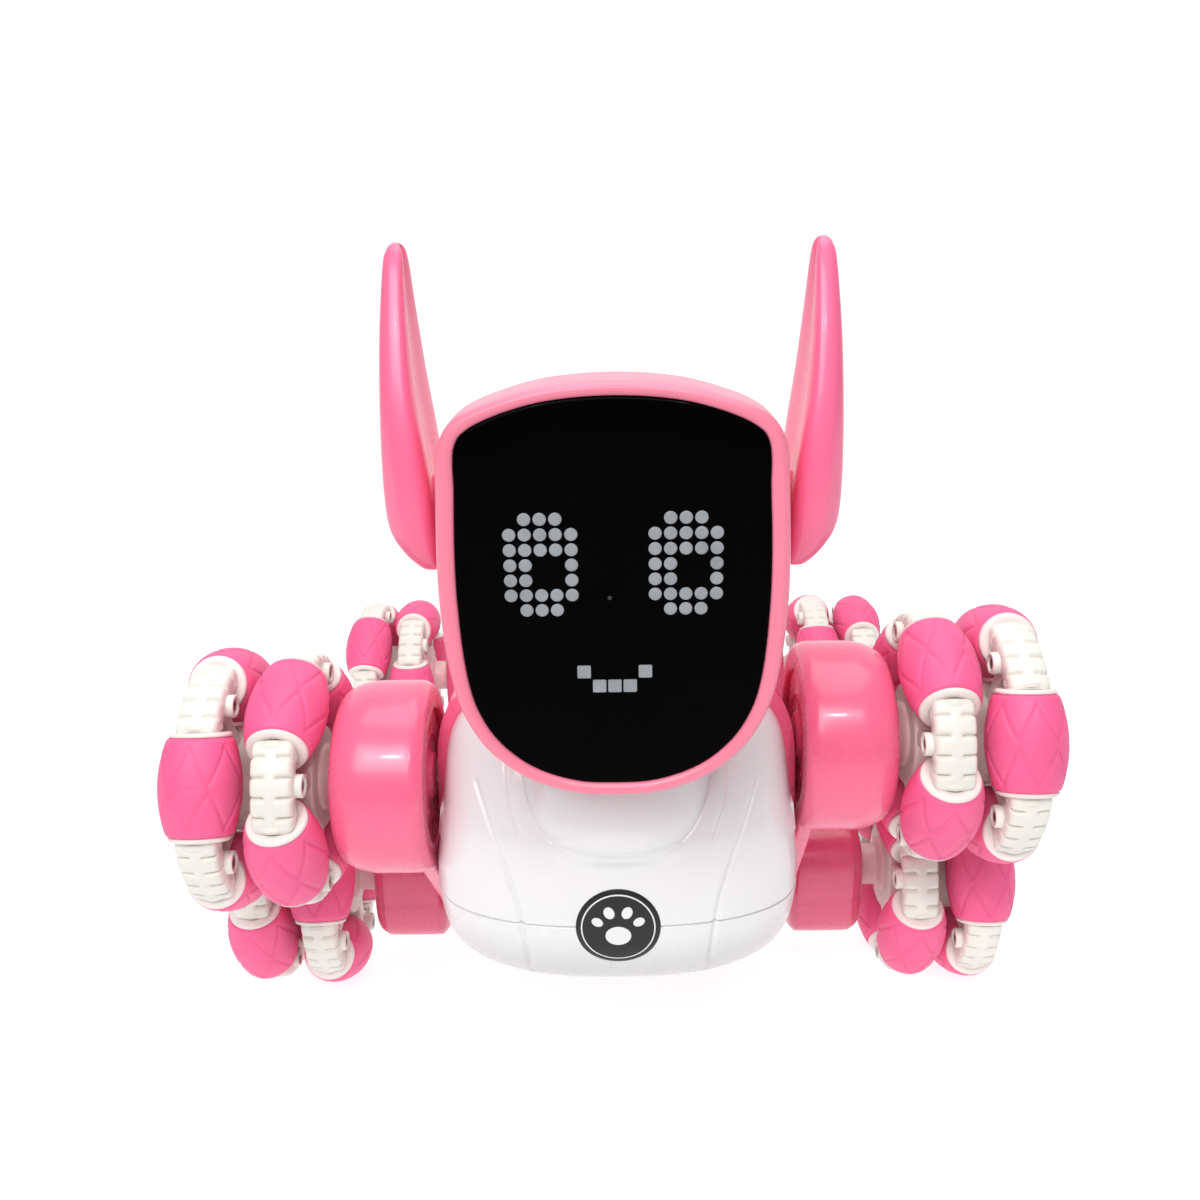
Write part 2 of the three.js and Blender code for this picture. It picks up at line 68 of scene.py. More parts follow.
# ---- Driving places, read from the frame ----
NOSE_Y = low("head_frame").y
FRAME_DEPTH = high("head_frame").y - NOSE_Y
HEAD_BACK_Y = high("head_back").y
HEAD_HALF = high("head_frame").x
CHIN_Z = low("head_frame").z
HEAD_HEIGHT = high("head_frame").z - CHIN_Z

BODY_HALF = high("lower_shell").x
FLOOR_Z = low("lower_shell").z
SEAM_Z = (high("lower_shell").z + low("chest_cover").z) / 2
CHEST_Y = low("lower_shell").y
SPLIT_Y = low("back_cover").y
BODY_BACK_Y = high("back_cover").y
ROOF_Z = high("back_cover").z
SEAM_GAP = 0.35
WALL = 2.2                              # thickness of the moulded shells
TAIL = 34.0                             # how far from the back the body starts to close in
TAIL_POWER = 3.0

MID_Y = joint_at("mid_left_wheel_spin").y
AXLE_Z = joint_at("mid_left_wheel_spin").z
NECK_Y = joint_at("head_turn").y
WHEEL_R = 38.0
ROLLER_ORBIT = 27.0
ROLLER_HALF = 14.5
ROW_PITCH = 21.2
STUB_R = 7.1
DRUM_OUTER_X = high("front_arm_left").x
DRUM_R = 27.8
ARM_LENGTH = 84.5
LEG_OUTER_X = high("mid_leg_left").x


# ---- Materials ----
def nodes_of(name):
    material = bpy.data.materials.new(name)
    material.use_nodes = True
    tree = material.node_tree
    tree.nodes.clear()
    output = tree.nodes.new("ShaderNodeOutputMaterial")
    shader = tree.nodes.new("ShaderNodeBsdfPrincipled")
    tree.links.new(shader.outputs["BSDF"], output.inputs["Surface"])
    return material, tree, shader


def noise(tree, scale, detail=3.0, distortion=0.0):
    coords = tree.nodes.new("ShaderNodeTexCoord")
    node = tree.nodes.new("ShaderNodeTexNoise")
    node.inputs["Scale"].default_value = scale
    node.inputs["Detail"].default_value = detail
    node.inputs["Distortion"].default_value = distortion
    tree.links.new(coords.outputs["Object"], node.inputs["Vector"])
    return node.outputs["Fac"]


def ramp(tree, value, stops):
    node = tree.nodes.new("ShaderNodeValToRGB")
    elements = node.color_ramp.elements
    while len(elements) < len(stops):
        elements.new(0.5)
    for element, (spot, colour) in zip(elements, stops):
        element.position = spot
        element.color = (*colour, 1.0)
    tree.links.new(value, node.inputs["Fac"])
    return node.outputs["Color"]


def run_along(tree, axis, start, end, space="Object"):
    """A value that runs from 0 to 1 along an axis."""
    coords = tree.nodes.new("ShaderNodeTexCoord")
    split = tree.nodes.new("ShaderNodeSeparateXYZ")
    reach = tree.nodes.new("ShaderNodeMapRange")
    reach.inputs["From Min"].default_value = start
    reach.inputs["From Max"].default_value = end
    tree.links.new(coords.outputs[space], split.inputs["Vector"])
    tree.links.new(split.outputs[axis], reach.inputs["Value"])
    return reach.outputs["Result"]


def shade(colour, factor):
    return tuple(min(1.0, c * factor) for c in colour)


def moulded(name, colour, rough, vary, grain, bump, coat=0.0, glow=0.0, spots=35.0):
    """Moulded plastic or rubber: colour and roughness vary a little, and a fine grain lifts the surface."""
    material, tree, shader = nodes_of(name)
    broad = noise(tree, spots, 4.0, 0.6)
    tint = ramp(tree, broad, [(0.3, shade(colour, 1.0 - vary)), (0.7, shade(colour, 1.0 + vary))])
    tree.links.new(tint, shader.inputs["Base Color"])
    worn = noise(tree, spots * 6.0, 5.0)
    low_r, high_r = rough * 0.93, rough * 1.08
    gloss = ramp(tree, worn, [(0.35, (low_r,) * 3), (0.65, (high_r,) * 3)])
    tree.links.new(gloss, shader.inputs["Roughness"])
    lift = tree.nodes.new("ShaderNodeBump")
    lift.inputs["Strength"].default_value = bump
    lift.inputs["Distance"].default_value = 0.0004
    tree.links.new(noise(tree, grain, 3.0), lift.inputs["Height"])
    tree.links.new(lift.outputs["Normal"], shader.inputs["Normal"])
    shader.inputs["Coat Weight"].default_value = coat
    shader.inputs["Coat Roughness"].default_value = 0.08
    if glow:
        shader.inputs["Subsurface Weight"].default_value = glow
        shader.inputs["Subsurface Radius"].default_value = (0.004, 0.0018, 0.0018)
        shader.inputs["Subsurface Scale"].default_value = 0.6
    return material


SHELL_WHITE = (0.80, 0.80, 0.81)
PINK = (0.94, 0.16, 0.31)
FRAME_PINK = (0.93, 0.23, 0.34)
# Colour, roughness, how far the colour varies, grain, bump; then coat, glow beneath the skin, size of spots.
LOOKS = {
    "shell_white": (SHELL_WHITE, 0.22, 0.012, 600, 0.008, 0.3),
    "cover_pink": (PINK, 0.28, 0.025, 700, 0.012, 0.2),
    "frame_pink": (FRAME_PINK, 0.36, 0.025, 700, 0.03, 0.1),
    "leg_pink": ((0.90, 0.145, 0.28), 0.27, 0.025, 700, 0.008, 0.15),
    # housing pink is the leg pink painted darker: painted shade for the housings tucked under the body
    "housing_pink": ((0.74, 0.11, 0.215), 0.28, 0.025, 700, 0.008, 0.12),
    "tub_white": (SHELL_WHITE, 0.26, 0.012, 600, 0.006, 0.2),
    "ear_pink": ((0.95, 0.16, 0.32), 0.32, 0.025, 700, 0.012, 0.15),
    "wheel_ivory": ((0.80, 0.78, 0.72), 0.42, 0.03, 1200, 0.06, 0.0),
    "stub_blush": ((0.85, 0.62, 0.60), 0.35, 0.04, 1200, 0.05, 0.0, 0.2),
    "roller_rubber": ((0.91, 0.12, 0.30), 0.55, 0.05, 1600, 0.08, 0.0),
    "roller_end": ((0.86, 0.78, 0.75), 0.4, 0.03, 1200, 0.06, 0.0),
    "display_black": ((0.001, 0.001, 0.0012), 0.1, 0.2, 300, 0.002),
    "display_dot": ((0.29, 0.31, 0.33), 0.5, 0.12, 2500, 0.05, 0.0, 0.0, 120.0),
    # dark plastic: the real dark parts, and also painted shade in the battery door gap and the head's sound slots
    "dark_plastic": ((0.03, 0.03, 0.034), 0.5, 0.2, 1500, 0.1),
    "circuit_board": ((0.02, 0.16, 0.07), 0.4, 0.15, 2500, 0.2),
    "neck_white": ((0.74, 0.74, 0.75), 0.4, 0.03, 900, 0.05),
    "badge_black": ((0.006, 0.006, 0.007), 0.45, 0.2, 1500, 0.03),
    "screw_steel": ((0.32, 0.31, 0.30), 0.35, 0.15, 2500, 0.1),
}
MATERIALS = {name: moulded(name, *look) for name, look in LOOKS.items()}


def shade_tub(material):
    """Grades the lower shell darker towards the floor, for the shade that gathers under the toy."""
    tree = material.node_tree
    blend = tree.nodes.new("ShaderNodeMix")
    blend.data_type = "RGBA"
    blend.blend_type = "MULTIPLY"
    blend.inputs["Factor"].default_value = 1.0
    shader = tree.nodes["Principled BSDF"]
    plain = shader.inputs["Base Color"].links[0].from_socket
    height = run_along(tree, "Z", (FLOOR_Z + 9) * MM, (SEAM_Z - 3) * MM)
    tree.links.new(plain, blend.inputs["A"])
    tree.links.new(ramp(tree, height, [(0.0, (0.42, 0.41, 0.40)), (1.0, (1.0, 1.0, 1.0))]), blend.inputs["B"])
    tree.links.new(blend.outputs["Result"], shader.inputs["Base Color"])


shade_tub(MATERIALS["tub_white"])
for slot, dial, level in (("display_black", "Specular IOR Level", 0.02), ("screw_steel", "Metallic", 1.0)):
    MATERIALS[slot].node_tree.nodes["Principled BSDF"].inputs[dial].default_value = level


# ---- Mesh making ----
def make_mesh(name, verts, faces, slot, smooth=True, merge=0.0):
    mesh = bpy.data.meshes.new(name)
    mesh.from_pydata([tuple(c * MM for c in v) for v in verts], [], faces)
    work = bmesh.new()
    work.from_mesh(mesh)
    if merge:
        bmesh.ops.remove_doubles(work, verts=work.verts, dist=merge * MM)
    bmesh.ops.recalc_face_normals(work, faces=work.faces)
    work.to_mesh(mesh)
    work.free()
    mesh.materials.append(MATERIALS[slot])
    for polygon in mesh.polygons:
        polygon.use_smooth = smooth
    return mesh


def place(name, mesh, body, nodes=(), matrix=None):
    """Puts a mesh in the scene as a piece that rides on a CAD body."""
    piece = bpy.data.objects.new(name, mesh)
    bpy.context.scene.collection.objects.link(piece)
    if matrix is not None:
        piece.matrix_world = matrix
    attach(piece, body)
    if nodes:
        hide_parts(*nodes)
    return piece


def add_piece(name, shape, look, body, nodes=(), matrix=None, smooth=True, merge=0.0):
    """Makes a shape's mesh in its look and places it."""
    return place(name, make_mesh(name, *shape, look, smooth, merge), body, nodes, matrix)


def crease(piece, angle):
    """Keeps edges sharper than the angle crisp, with a small bevel along them."""
    modifier = piece.modifiers.new("edges", "BEVEL")
    modifier.width = 0.25 * MM
    modifier.segments = 2
    modifier.limit_method = "ANGLE"
    modifier.angle_limit = math.radians(angle)


def loft(rings, closed_ring=True, caps=(False, False), closed_path=False):
    """Skins rings of equal point counts. Returns verts and faces."""
    count = len(rings[0])
    verts = [tuple(p) for ring in rings for p in ring]
    faces = []
    steps = len(rings) if closed_path else len(rings) - 1
    around = count if closed_ring else count - 1
    for i in range(steps):
        here, there = i * count, ((i + 1) % len(rings)) * count
        for j in range(around):
            k = (j + 1) % count
            faces.append((here + j, here + k, there + k, there + j))
    if caps[0]:
        faces.append(tuple(range(count))[::-1])
    if caps[1]:
        faces.append(tuple(range(len(verts) - count, len(verts))))
    return verts, faces


def arc(cx, cy, rx, ry, start, end, steps):
    """Points on an ellipse, from one angle to another in degrees."""
    angles = [math.radians(start + (end - start) * i / steps) for i in range(steps + 1)]
    return [(cx + rx * math.cos(a), cy + ry * math.sin(a)) for a in angles]


def circle(radius, count):
    return arc(0, 0, radius, radius, 0, 360, count)[:-1]


def turned(profile, sides=64, axis="x", closed=False):
    """A turned shape about X or Z. Profile points are (radius, place along the axis)."""
    rings = []
    for radius, along in profile:
        rings.append([(along, c, s) if axis == "x" else (c, s, along) for c, s in circle(radius, sides)])
    return loft(rings, closed_path=closed)


def spin(degrees):
    """A turn about the axle, X."""
    return Matrix.Rotation(math.radians(degrees), 4, "X")


def shift(x, y, z):
    return Matrix.Translation((x, y, z))


def signed_power(value, power):
    return math.copysign(abs(value) ** power, value)


def combine(*shapes):
    verts, faces = [], []
    for v, f in shapes:
        base = len(verts)
        verts += v
        faces += [tuple(i + base for i in face) for face in f]
    return verts, faces


def moved(shape, matrix):
    verts, faces = shape
    return [tuple(matrix @ Vector(v)) for v in verts], faces


def spline(points, steps=8, closed=False):
    """A smooth curve through the points (Catmull-Rom)."""
    pts = [np.array(p, float) for p in points]
    count = len(pts)
    out = []
    for i in range(count if closed else count - 1):
        a = pts[(i - 1) % count] if closed or i else 2 * pts[0] - pts[1]
        b, c = pts[i], pts[(i + 1) % count]
        d = pts[(i + 2) % count] if closed or i < count - 2 else 2 * pts[-1] - pts[-2]
        for k in range(steps):
            t = k / steps
            out.append(0.5 * (2 * b + (c - a) * t + (2 * a - 5 * b + 4 * c - d) * t * t
                              + (3 * b - a - 3 * c + d) * t ** 3))
    if not closed:
        out.append(pts[-1])
    return np.array(out)


def distance_to_line(points, line):
    """Shortest distance from each 2-D point to a polyline."""
    best = np.full(len(points), 1e9)
    for a, b in zip(line[:-1], line[1:]):
        ab = b - a
        t = np.clip(((points - a) @ ab) / (ab @ ab), 0, 1)
        best = np.minimum(best, np.linalg.norm(points - a - t[:, None] * ab, axis=1))
    return best


# ---- Rollers ----
SLEEVE_HALF = 13.2
DIAMONDS = 6


def barrel_radius(u):
    return math.sqrt(WHEEL_R ** 2 - u ** 2) - ROLLER_ORBIT


def roller_sleeve():
    """The rubber barrel, with engraved diamonds and a faint mould line round its middle."""
    around, along = 132, 48
    radius = 11.0
    pitch = 2 * math.pi * radius / DIAMONDS
    zigzag = [np.array([k * pitch / 2, 11.0 if k % 2 == 0 else 0.9]) for k in range(-1, 2 * DIAMONDS + 2)]
    rings = []
    for i in range(along + 1):
        u = SLEEVE_HALF * (2 * i / along - 1)
        spots = np.array([[2 * math.pi * radius * j / around, abs(u)] for j in range(around)])
        gap = distance_to_line(spots, zigzag)
        depth = 0.5 * np.exp(-(gap / 0.42) ** 2) + 0.1 * math.exp(-(u / 0.25) ** 2)
        shoulder = 0.7 * max(0.0, abs(u) - SLEEVE_HALF + 0.9) ** 2
        ring = []
        for j in range(around):
            a = 2 * math.pi * j / around
            r = barrel_radius(u) - depth[j] - shoulder
            ring.append((r * math.cos(a), r * math.sin(a), u))
        rings.append(ring)
    bore = [[(c, s, end * SLEEVE_HALF) for c, s in circle(4.2, around)] for end in (1, -1)]
    return loft(rings + bore, closed_path=True)


def roller_bush():
    """The hard tube inside the rubber: a flange at each end and a bore on the pin."""
    rim, face = SLEEVE_HALF + 0.05, ROLLER_HALF
    flange = barrel_radius(rim) - 0.25
    outer = [(4.0, -rim), (flange - 0.3, -rim), (flange, -rim - 0.3), (flange - 0.35, -face + 0.25),
             (flange - 0.8, -face), (5.6, -face), (5.2, -face + 0.4), (1.95, -face + 0.4)]
    return turned(outer + [(r, -z) for r, z in reversed(outer)], 56, "z", closed=True)


REAR_PHASE = {"left": 79.5, "right": 50.0}     # the rear wheels' first roller, up from straight ahead


def wheel_matrix(wheel, side):
    """The wheel's own frame: X out to the side, Y along its first outer roller."""
    hub = joint_at(f"{wheel}_wheel_spin")
    if wheel.startswith("rear"):
        a = math.radians(REAR_PHASE[wheel.split("_")[1]])
        out = Vector((0, -math.cos(a), math.sin(a)))
    else:
        out = joint_at(f"{wheel}_outer_roller_1_spin") - hub
        out.x = 0.0
        out.normalize()
    x_axis = Vector((side, 0, 0))
    axes = Matrix((x_axis, out, x_axis.cross(out))).transposed().to_4x4()
    return Matrix.Translation(hub * MM) @ axes


def add_rollers(wheel, side):
    """Each roller rides on its own body, or on the wheel where the record keeps them fixed."""
    base = wheel_matrix(wheel, side)
    for row, x, turn in (("outer", ROW_PITCH / 2, 0), ("inner", -ROW_PITCH / 2, 45)):
        for number in range(4):
            name = f"{wheel}_{row}_roller_{number + 1}"
            own_body = name in frame["nodes"]
            body = name if own_body else f"{wheel}_wheel"
            matrix = base @ spin(turn + 90 * number) @ shift(x * MM, ROLLER_ORBIT * MM, 0)
            place(f"{name}_sleeve", ROLLER_MESHES["sleeve"], body,
                  [name] if own_body else (), matrix @ Matrix.Rotation(math.pi / 2, 4, "Z"))
            place(f"{name}_bush", ROLLER_MESHES["bush"], body, (), matrix)


# ---- Wheel cores ----
# Drawn about the X axis, outer face towards +X; the first outer roller lies along +Y.

SEGMENT_HALF = 5.6                     # along the axle
SEGMENT_SPAN = 20.5                    # degrees to each side of its middle
SCREW_ORBIT = 30.0


def segment_skin(angle, across):
    """Radius of a segment's outer face: a crown, slits from both sides, and sagging scales between."""
    slits = (-13.2, -4.4, 4.4, 13.2)
    radius = 36.3 - 0.9 * abs(across) ** 3 - 0.5 * (angle / SEGMENT_SPAN) ** 4
    scale = 0.5 + 0.5 * math.cos(math.pi * (angle - 4.4) / 4.4)
    radius -= 0.42 * scale ** 4 * min(1.0, max(0.0, (abs(across) - 0.16) / 0.1))
    for slit in slits:
        cut = math.exp(-((angle - slit) / 0.55) ** 2)
        open_side = min(1.0, max(0.0, (abs(across) - 0.30) / 0.06))
        radius -= 1.25 * cut * open_side
    return radius


def segment_shape(x, middle):
    """One ribbed segment with arched ends that wrap the ends of its two rollers."""
    rings = []
    steps, columns = 76, 22
    for i in range(steps + 1):
        angle = SEGMENT_SPAN * (2 * i / steps - 1)
        end = max(0.0, abs(angle) - SEGMENT_SPAN + 2.6) / 2.6
        half = SEGMENT_HALF * (1 - 0.12 * end ** 2)
        base = 30.0 - 3.5 * end
        ring = []
        for j in range(columns + 1):
            across = 1 - 2 * j / columns
            edge = max(0.0, abs(across) - 0.86) / 0.14
            r = segment_skin(angle, across) - 0.9 * (1 - math.sqrt(max(0.0, 1 - edge ** 2))) - 0.35 * end ** 2
            ring.append((x + half * across, r))
        ring += [(x - half, 33.0), (x - half + 0.3, base), (x + half - 0.3, base), (x + half, 33.0)]
        a = math.radians(middle + angle)
        rings.append([(px, r * math.cos(a), r * math.sin(a)) for px, r in ring])
    return loft(rings, caps=(True, True))


def segment_shapes(x, turn):
    """A segment, its spoke from the hub, and the shoulders that carry the roller pins."""
    middle = turn + 45
    spoke_rings = []
    for radius, half_x, half_z in ((13.0, 5.6, 2.6), (20.0, 4.8, 2.2), (25.0, 4.6, 2.2), (28.5, 4.7, 4.0),
                                   (31.0, 4.9, 8.4), (33.0, 4.9, 10.0)):
        corner = rounded_rect(x - half_x, x + half_x, -half_z, half_z, 1.2, 4)
        spoke_rings.append([(px, radius, pz) for px, pz in corner])
    return [segment_shape(x, middle), moved(loft(spoke_rings, caps=(True, True)), spin(middle))]


def end_cheek(x, roller_angle, sign):
    """The flat round cheek that holds a roller's pin, just beyond the roller's end."""
    profile = [(0, 0), (5.2, 0), (5.7, 0.4), (5.7, 1.5), (5.0, 2.2), (0, 2.2)]
    cheek = turned(profile, 40, "z")
    seat = shift(x, ROLLER_ORBIT, sign * (ROLLER_HALF + 0.35)) @ spin(90 - 90 * sign)
    return moved(cheek, spin(roller_angle) @ seat)


def core_shape():
    rims = arc(13.8, -15.4, 1.2, 1.2, -90, 0, 5) + arc(13.8, 15.4, 1.2, 1.2, 0, 90, 5)
    shapes = [turned([(0, -16.6), *rims, (0, 16.6)], 72)]
    shapes.append(turned([(5.5, 16.5), (8.4, 16.5), (8.4, 17.6), (7.8, 18.0), (5.5, 18.0), (5.5, 16.5)], 48))
    for x, turn in ((ROW_PITCH / 2, 0), (-ROW_PITCH / 2, 45)):
        for i in range(4):
            roller = turn + i * 90
            shapes += segment_shapes(x, roller)
            for sign in (-1, 1):
                shapes.append(end_cheek(x, roller, sign))
            pin = turned([(0, -16.5), (1.6, -16.5), (1.6, 16.5), (0, 16.5)], 20, "z")
            shapes.append(moved(pin, spin(roller) @ shift(x, ROLLER_ORBIT, 0)))
            shapes.append(screw_boss(x, roller + 45))
    return combine(*shapes)


def screw_boss(x, angle):
    """A round boss on the body side of a segment, with a countersunk mouth for its screw."""
    boss = turned([(0, 0.3), (3.2, 0.3), (3.2, -2.2), (2.9, -2.6), (2.25, -2.6), (2.1, -1.6), (0, -1.6)], 32)
    return moved(boss, spin(angle) @ shift(x - 5.0, SCREW_ORBIT, 0))


def screw_shape():
    """The screw heads in the bosses of one wheel, each with a round recess."""
    shapes = []
    for x, turn in ((ROW_PITCH / 2, 45), (-ROW_PITCH / 2, 90)):
        for i in range(4):
            head = turned([(0, 0.9), (2.0, 0.9), (2.0, 0.1), (1.5, -0.3), (0.95, -0.35), (0.75, 0.3),
                           (0, 0.3)], 24)
            shapes.append(moved(head, spin(turn + i * 90) @ shift(x - 6.9, SCREW_ORBIT, 0)))
    return combine(*shapes)


def add_wheel(wheel, side, housing_x):
    body = f"{wheel}_wheel"
    hub = joint_at(f"{wheel}_wheel_spin")
    matrix = wheel_matrix(wheel, side)
    core = place(f"{wheel}_core", CORE_MESHES["core"], body, [body], matrix)
    crease(core, 40)
    place(f"{wheel}_screws", CORE_MESHES["screws"], body, (), matrix)
    reach = -(abs(hub.x) - housing_x + 3.6)
    stub = turned([(0, -16.0), (9.4, -16.0), (9.6, -16.8), (9.4, -17.9), (STUB_R + 0.2, -18.4),
                   (STUB_R, -19.2), (STUB_R, reach + 0.4), (STUB_R - 0.4, reach), (0, reach)], 64)
    add_piece(f"{wheel}_axle_stub", stub, "stub_blush", body, (), matrix, merge=0.01)
    cap = turned([(0, 17.2), (5.3, 17.2), (5.3, 18.3), (4.6, 18.9), (2.4, 19.1), (1.9, 18.2), (0, 18.2)], 48)
    add_piece(f"{wheel}_hub_cap", cap, "wheel_ivory", body, (), matrix, merge=0.01)


# ---- Front arms ----
def strap_outline(near_r, far_r):
    """Two circles joined by their tangents, in (Y, Z), the far circle towards -Y."""
    lean = math.degrees(math.acos((far_r - near_r) / ARM_LENGTH))
    return (arc(-ARM_LENGTH, 0, far_r, far_r, lean, 360 - lean, 40)
            + arc(0, 0, near_r, near_r, -lean, lean, 20))


def drum_shape(width):
    """The gear drum: a hollow for the hub face, a rounded inner rim and a long soft outer one."""
    profile = [(0, 2.4), (19.5, 2.4), (19.6, 0.5), (20.0, 0)] + arc(DRUM_R - 3.4, 4.6, 3.4, 4.6, -90, 0, 12)
    for i in range(21):
        a = math.pi / 2 * i / 20
        profile.append((DRUM_R - 7.0 + 7.0 * math.cos(a) ** 0.9, width - 11.5 + 11.5 * math.sin(a)))
    profile += [(11.2, width), (10.4, width - 0.25), (9.9, width - 1.2), (STUB_R + 0.3, width - 1.4),
                (STUB_R + 0.3, width - 4.8), (0, width - 4.8)]
    return turned(profile, 128)


def mirrored(shape, side):
    verts, faces = shape
    return ([(side * v[0], v[1], v[2]) for v in verts], faces)


def cut_hole(piece, at, radius, start, end):
    """Cuts a round hole along X with a boolean, and leaves the result in the piece's own mesh."""
    shape = turned([(0, start), (radius, start), (radius, end), (0, end)], 72)
    cutter = bpy.data.objects.new("cutter", make_mesh("cutter", *moved(shape, shift(*at)), "leg_pink", merge=0.01))
    bpy.context.scene.collection.objects.link(cutter)
    modifier = piece.modifiers.new("hole", "BOOLEAN")
    modifier.operation = "DIFFERENCE"
    modifier.solver = "EXACT"
    modifier.object = cutter
    graph = bpy.context.evaluated_depsgraph_get()
    mesh = bpy.data.meshes.new_from_object(piece.evaluated_get(graph))
    old = piece.data
    piece.modifiers.clear()
    piece.data = mesh
    bpy.data.meshes.remove(old)
    bpy.data.objects.remove(cutter)


def add_arm(name, side):
    """A plate from the pivot to the hub, the gear drum, and a dished face in the drum's hollow."""
    body = f"front_arm_{name}"
    hub = joint_at(f"front_{name}_wheel_spin")
    rise = math.atan2(hub.z - AXLE_Z, MID_Y - hub.y)
    turn = shift(0, MID_Y, AXLE_Z) @ Matrix.Rotation(-rise, 4, "X")
    inner = min(abs(low(body).x), abs(high(body).x))
    rims = [(1.3, 0.0), (0.5, 0.12), (0.12, 0.5), (0.0, 1.2),
            (0.0, 3.9), (0.12, 4.5), (0.5, 4.88), (1.3, 5.0)]
    rings = [[(inner + 0.2 + 0.96 * x, y, z) for y, z in strap_outline(17.0 - inset, DRUM_R - 2.9 - inset)]
             for inset, x in rims]
    strap = mirrored(moved(loft(rings, caps=(True, True)), turn), side)
    piece = add_piece(f"{body}_plate", strap, "leg_pink", body, [body])
    for y, z, radius, depth in ((MID_Y, AXLE_Z, 10.4, 8), (hub.y, hub.z, 19.9, 1.4)):
        x0, x1 = sorted((side * (inner - 1), side * (inner + depth)))
        cut_hole(piece, (0, y, z), radius, x0, x1)
    for polygon in piece.data.polygons:
        polygon.use_smooth = True
    crease(piece, 30)
    dish = [(0, 0.2), (5.6, 0.2), (6.6, 0.5), (7.0, 1.3), (11.6, 1.3), (12.0, 1.0), (12.4, 0.9), (12.8, 1.0),
            (13.2, 1.3), (19.0, 1.3), (19.7, 0.9), (19.7, 2.2), (0, 2.2)]
    at_hub = turn @ shift(inner, -ARM_LENGTH, 0)
    for part, shape in (("drum", drum_shape(DRUM_OUTER_X - inner)), ("hub_face", turned(dish, 96))):
        add_piece(f"{body}_{part}", mirrored(moved(shape, at_hub), side), "leg_pink", body, merge=0.01)


# ---- Leg housings ----
def squircle(half, power, count):
    return [(half * signed_power(c, 2 / power), half * signed_power(s, 2 / power))
            for c, s in circle(1.0, count)]


def add_leg(node, side):
    """A rounded box in two halves that meet on a level parting line, with a collar round the axle."""
    y, half = (low(node).y + high(node).y) / 2, (high(node).y - low(node).y) / 2
    inner = 58.4 if node.startswith("mid") else BODY_HALF + 1.0
    outer = LEG_OUTER_X
    edges = spline([(inner, 3.4), (inner + 0.5, 1.9), (inner + 1.9, 0.5), (inner + 3.8, 0.0),
                    (outer - 6.0, 0.0), (outer - 3.6, 0.45), (outer - 1.6, 1.7), (outer - 0.45, 3.6),
                    (outer, 6.0)], 3)
    rings = []
    for x, inset in edges:
        outline = [(a, b if b > 0 else b * 0.975) for a, b in squircle(half - inset, 3.0, 160)]
        ring = []
        for py, pz in outline:
            notch = 0.75 * math.exp(-((pz + 2.0) / 0.42) ** 2)
            scale = 1 - notch / max(abs(py), 6.0) if abs(py) > half * 0.5 else 1.0
            ring.append((x, y + py * scale, AXLE_Z + pz))
        rings.append(ring)
    shell = mirrored(loft(rings, caps=(True, True)), side)
    # the housings take the darker housing pink, which is painted shade
    add_piece(f"{node}_housing", shell, "housing_pink", "chassis", [node])
    collar = turned([(STUB_R + 0.35, outer - 0.4), (10.4, outer - 0.4), (10.4, outer - 0.2),
                     (9.8, outer + 0.25), (STUB_R + 0.7, outer + 0.25), (STUB_R + 0.35, outer - 0.1),
                     (STUB_R + 0.35, outer - 0.4)], 64)
    spigot = turned([(0, BODY_HALF - 1.5), (9.9, BODY_HALF - 1.5), (9.9, inner + 1), (0, inner + 1)], 48)
    round_parts = mirrored(moved(combine(collar, spigot), shift(0, y, AXLE_Z)), side)
    add_piece(f"{node}_collar", round_parts, "housing_pink", "chassis", merge=0.01)


# ---- Body shells ----
# The white shells are stacks of outlines seen from above, one for each height.

def superellipse(half, depth, power, count):
    """From (half, depth) round the front at (0, 0) to (-half, depth)."""
    points = []
    for i in range(count + 1):
        a = math.pi * i / count
        points.append((half * signed_power(math.cos(a), 2 / power), depth * (1 - math.sin(a) ** (2 / power))))
    return points


def chest_half(z):
    """Half width of the chest at a height."""
    if z <= SEAM_Z + 8:
        return BODY_HALF
    slope = 4.0 * (z - SEAM_Z - 8) / 33.0
    wide = BODY_HALF - min(slope, 4.0)
    shoulder = SEAM_Z + 37
    if z <= shoulder:
        return wide
    k = min(1.0, (z - shoulder) / (ROOF_Z + 0.6 - shoulder))
    return 20.0 + (wide - 20.0) * math.sqrt(max(0.0, 1 - k ** 2.2))


# Depth behind the foremost point and height above the seam, up the chest and down the keel.
CHEST_PROFILE = spline([(0, 0), (0.3, 8), (1.6, 18), (4.6, 29), (9.8, 40), (17.0, 49.5), (25.5, 55.6),
                        (SPLIT_Y - CHEST_Y - 0.4, ROOF_Z - SEAM_Z - 0.9)], 16) + (0, SEAM_Z)
KEEL_PROFILE = spline([(0, 0), (0.5, -8), (3.0, -15), (8.6, -21.4), (19.5, -28.6), (36.0, -36.6),
                       (52.0, FLOOR_Z - SEAM_Z + 2.2), (62.0, FLOOR_Z - SEAM_Z)], 14) + (0, SEAM_Z)
PANEL_GROOVE = spline([(38.5, 110), (34.8, 100.5), (31.0, 91), (27.6, 80), (26.0, 70), (25.2, 62),
                       (24.6, 52)], 8)
BIB_GROOVE = spline([(29.3, 118), (29.0, 106), (26.0, 97.5)], 6)
BOWL_CREASE = spline([(24.0, 116), (22.8, 107.5), (20.4, 102.4), (17.6, 99), (12.9, 95), (7.0, 92.6)], 6)


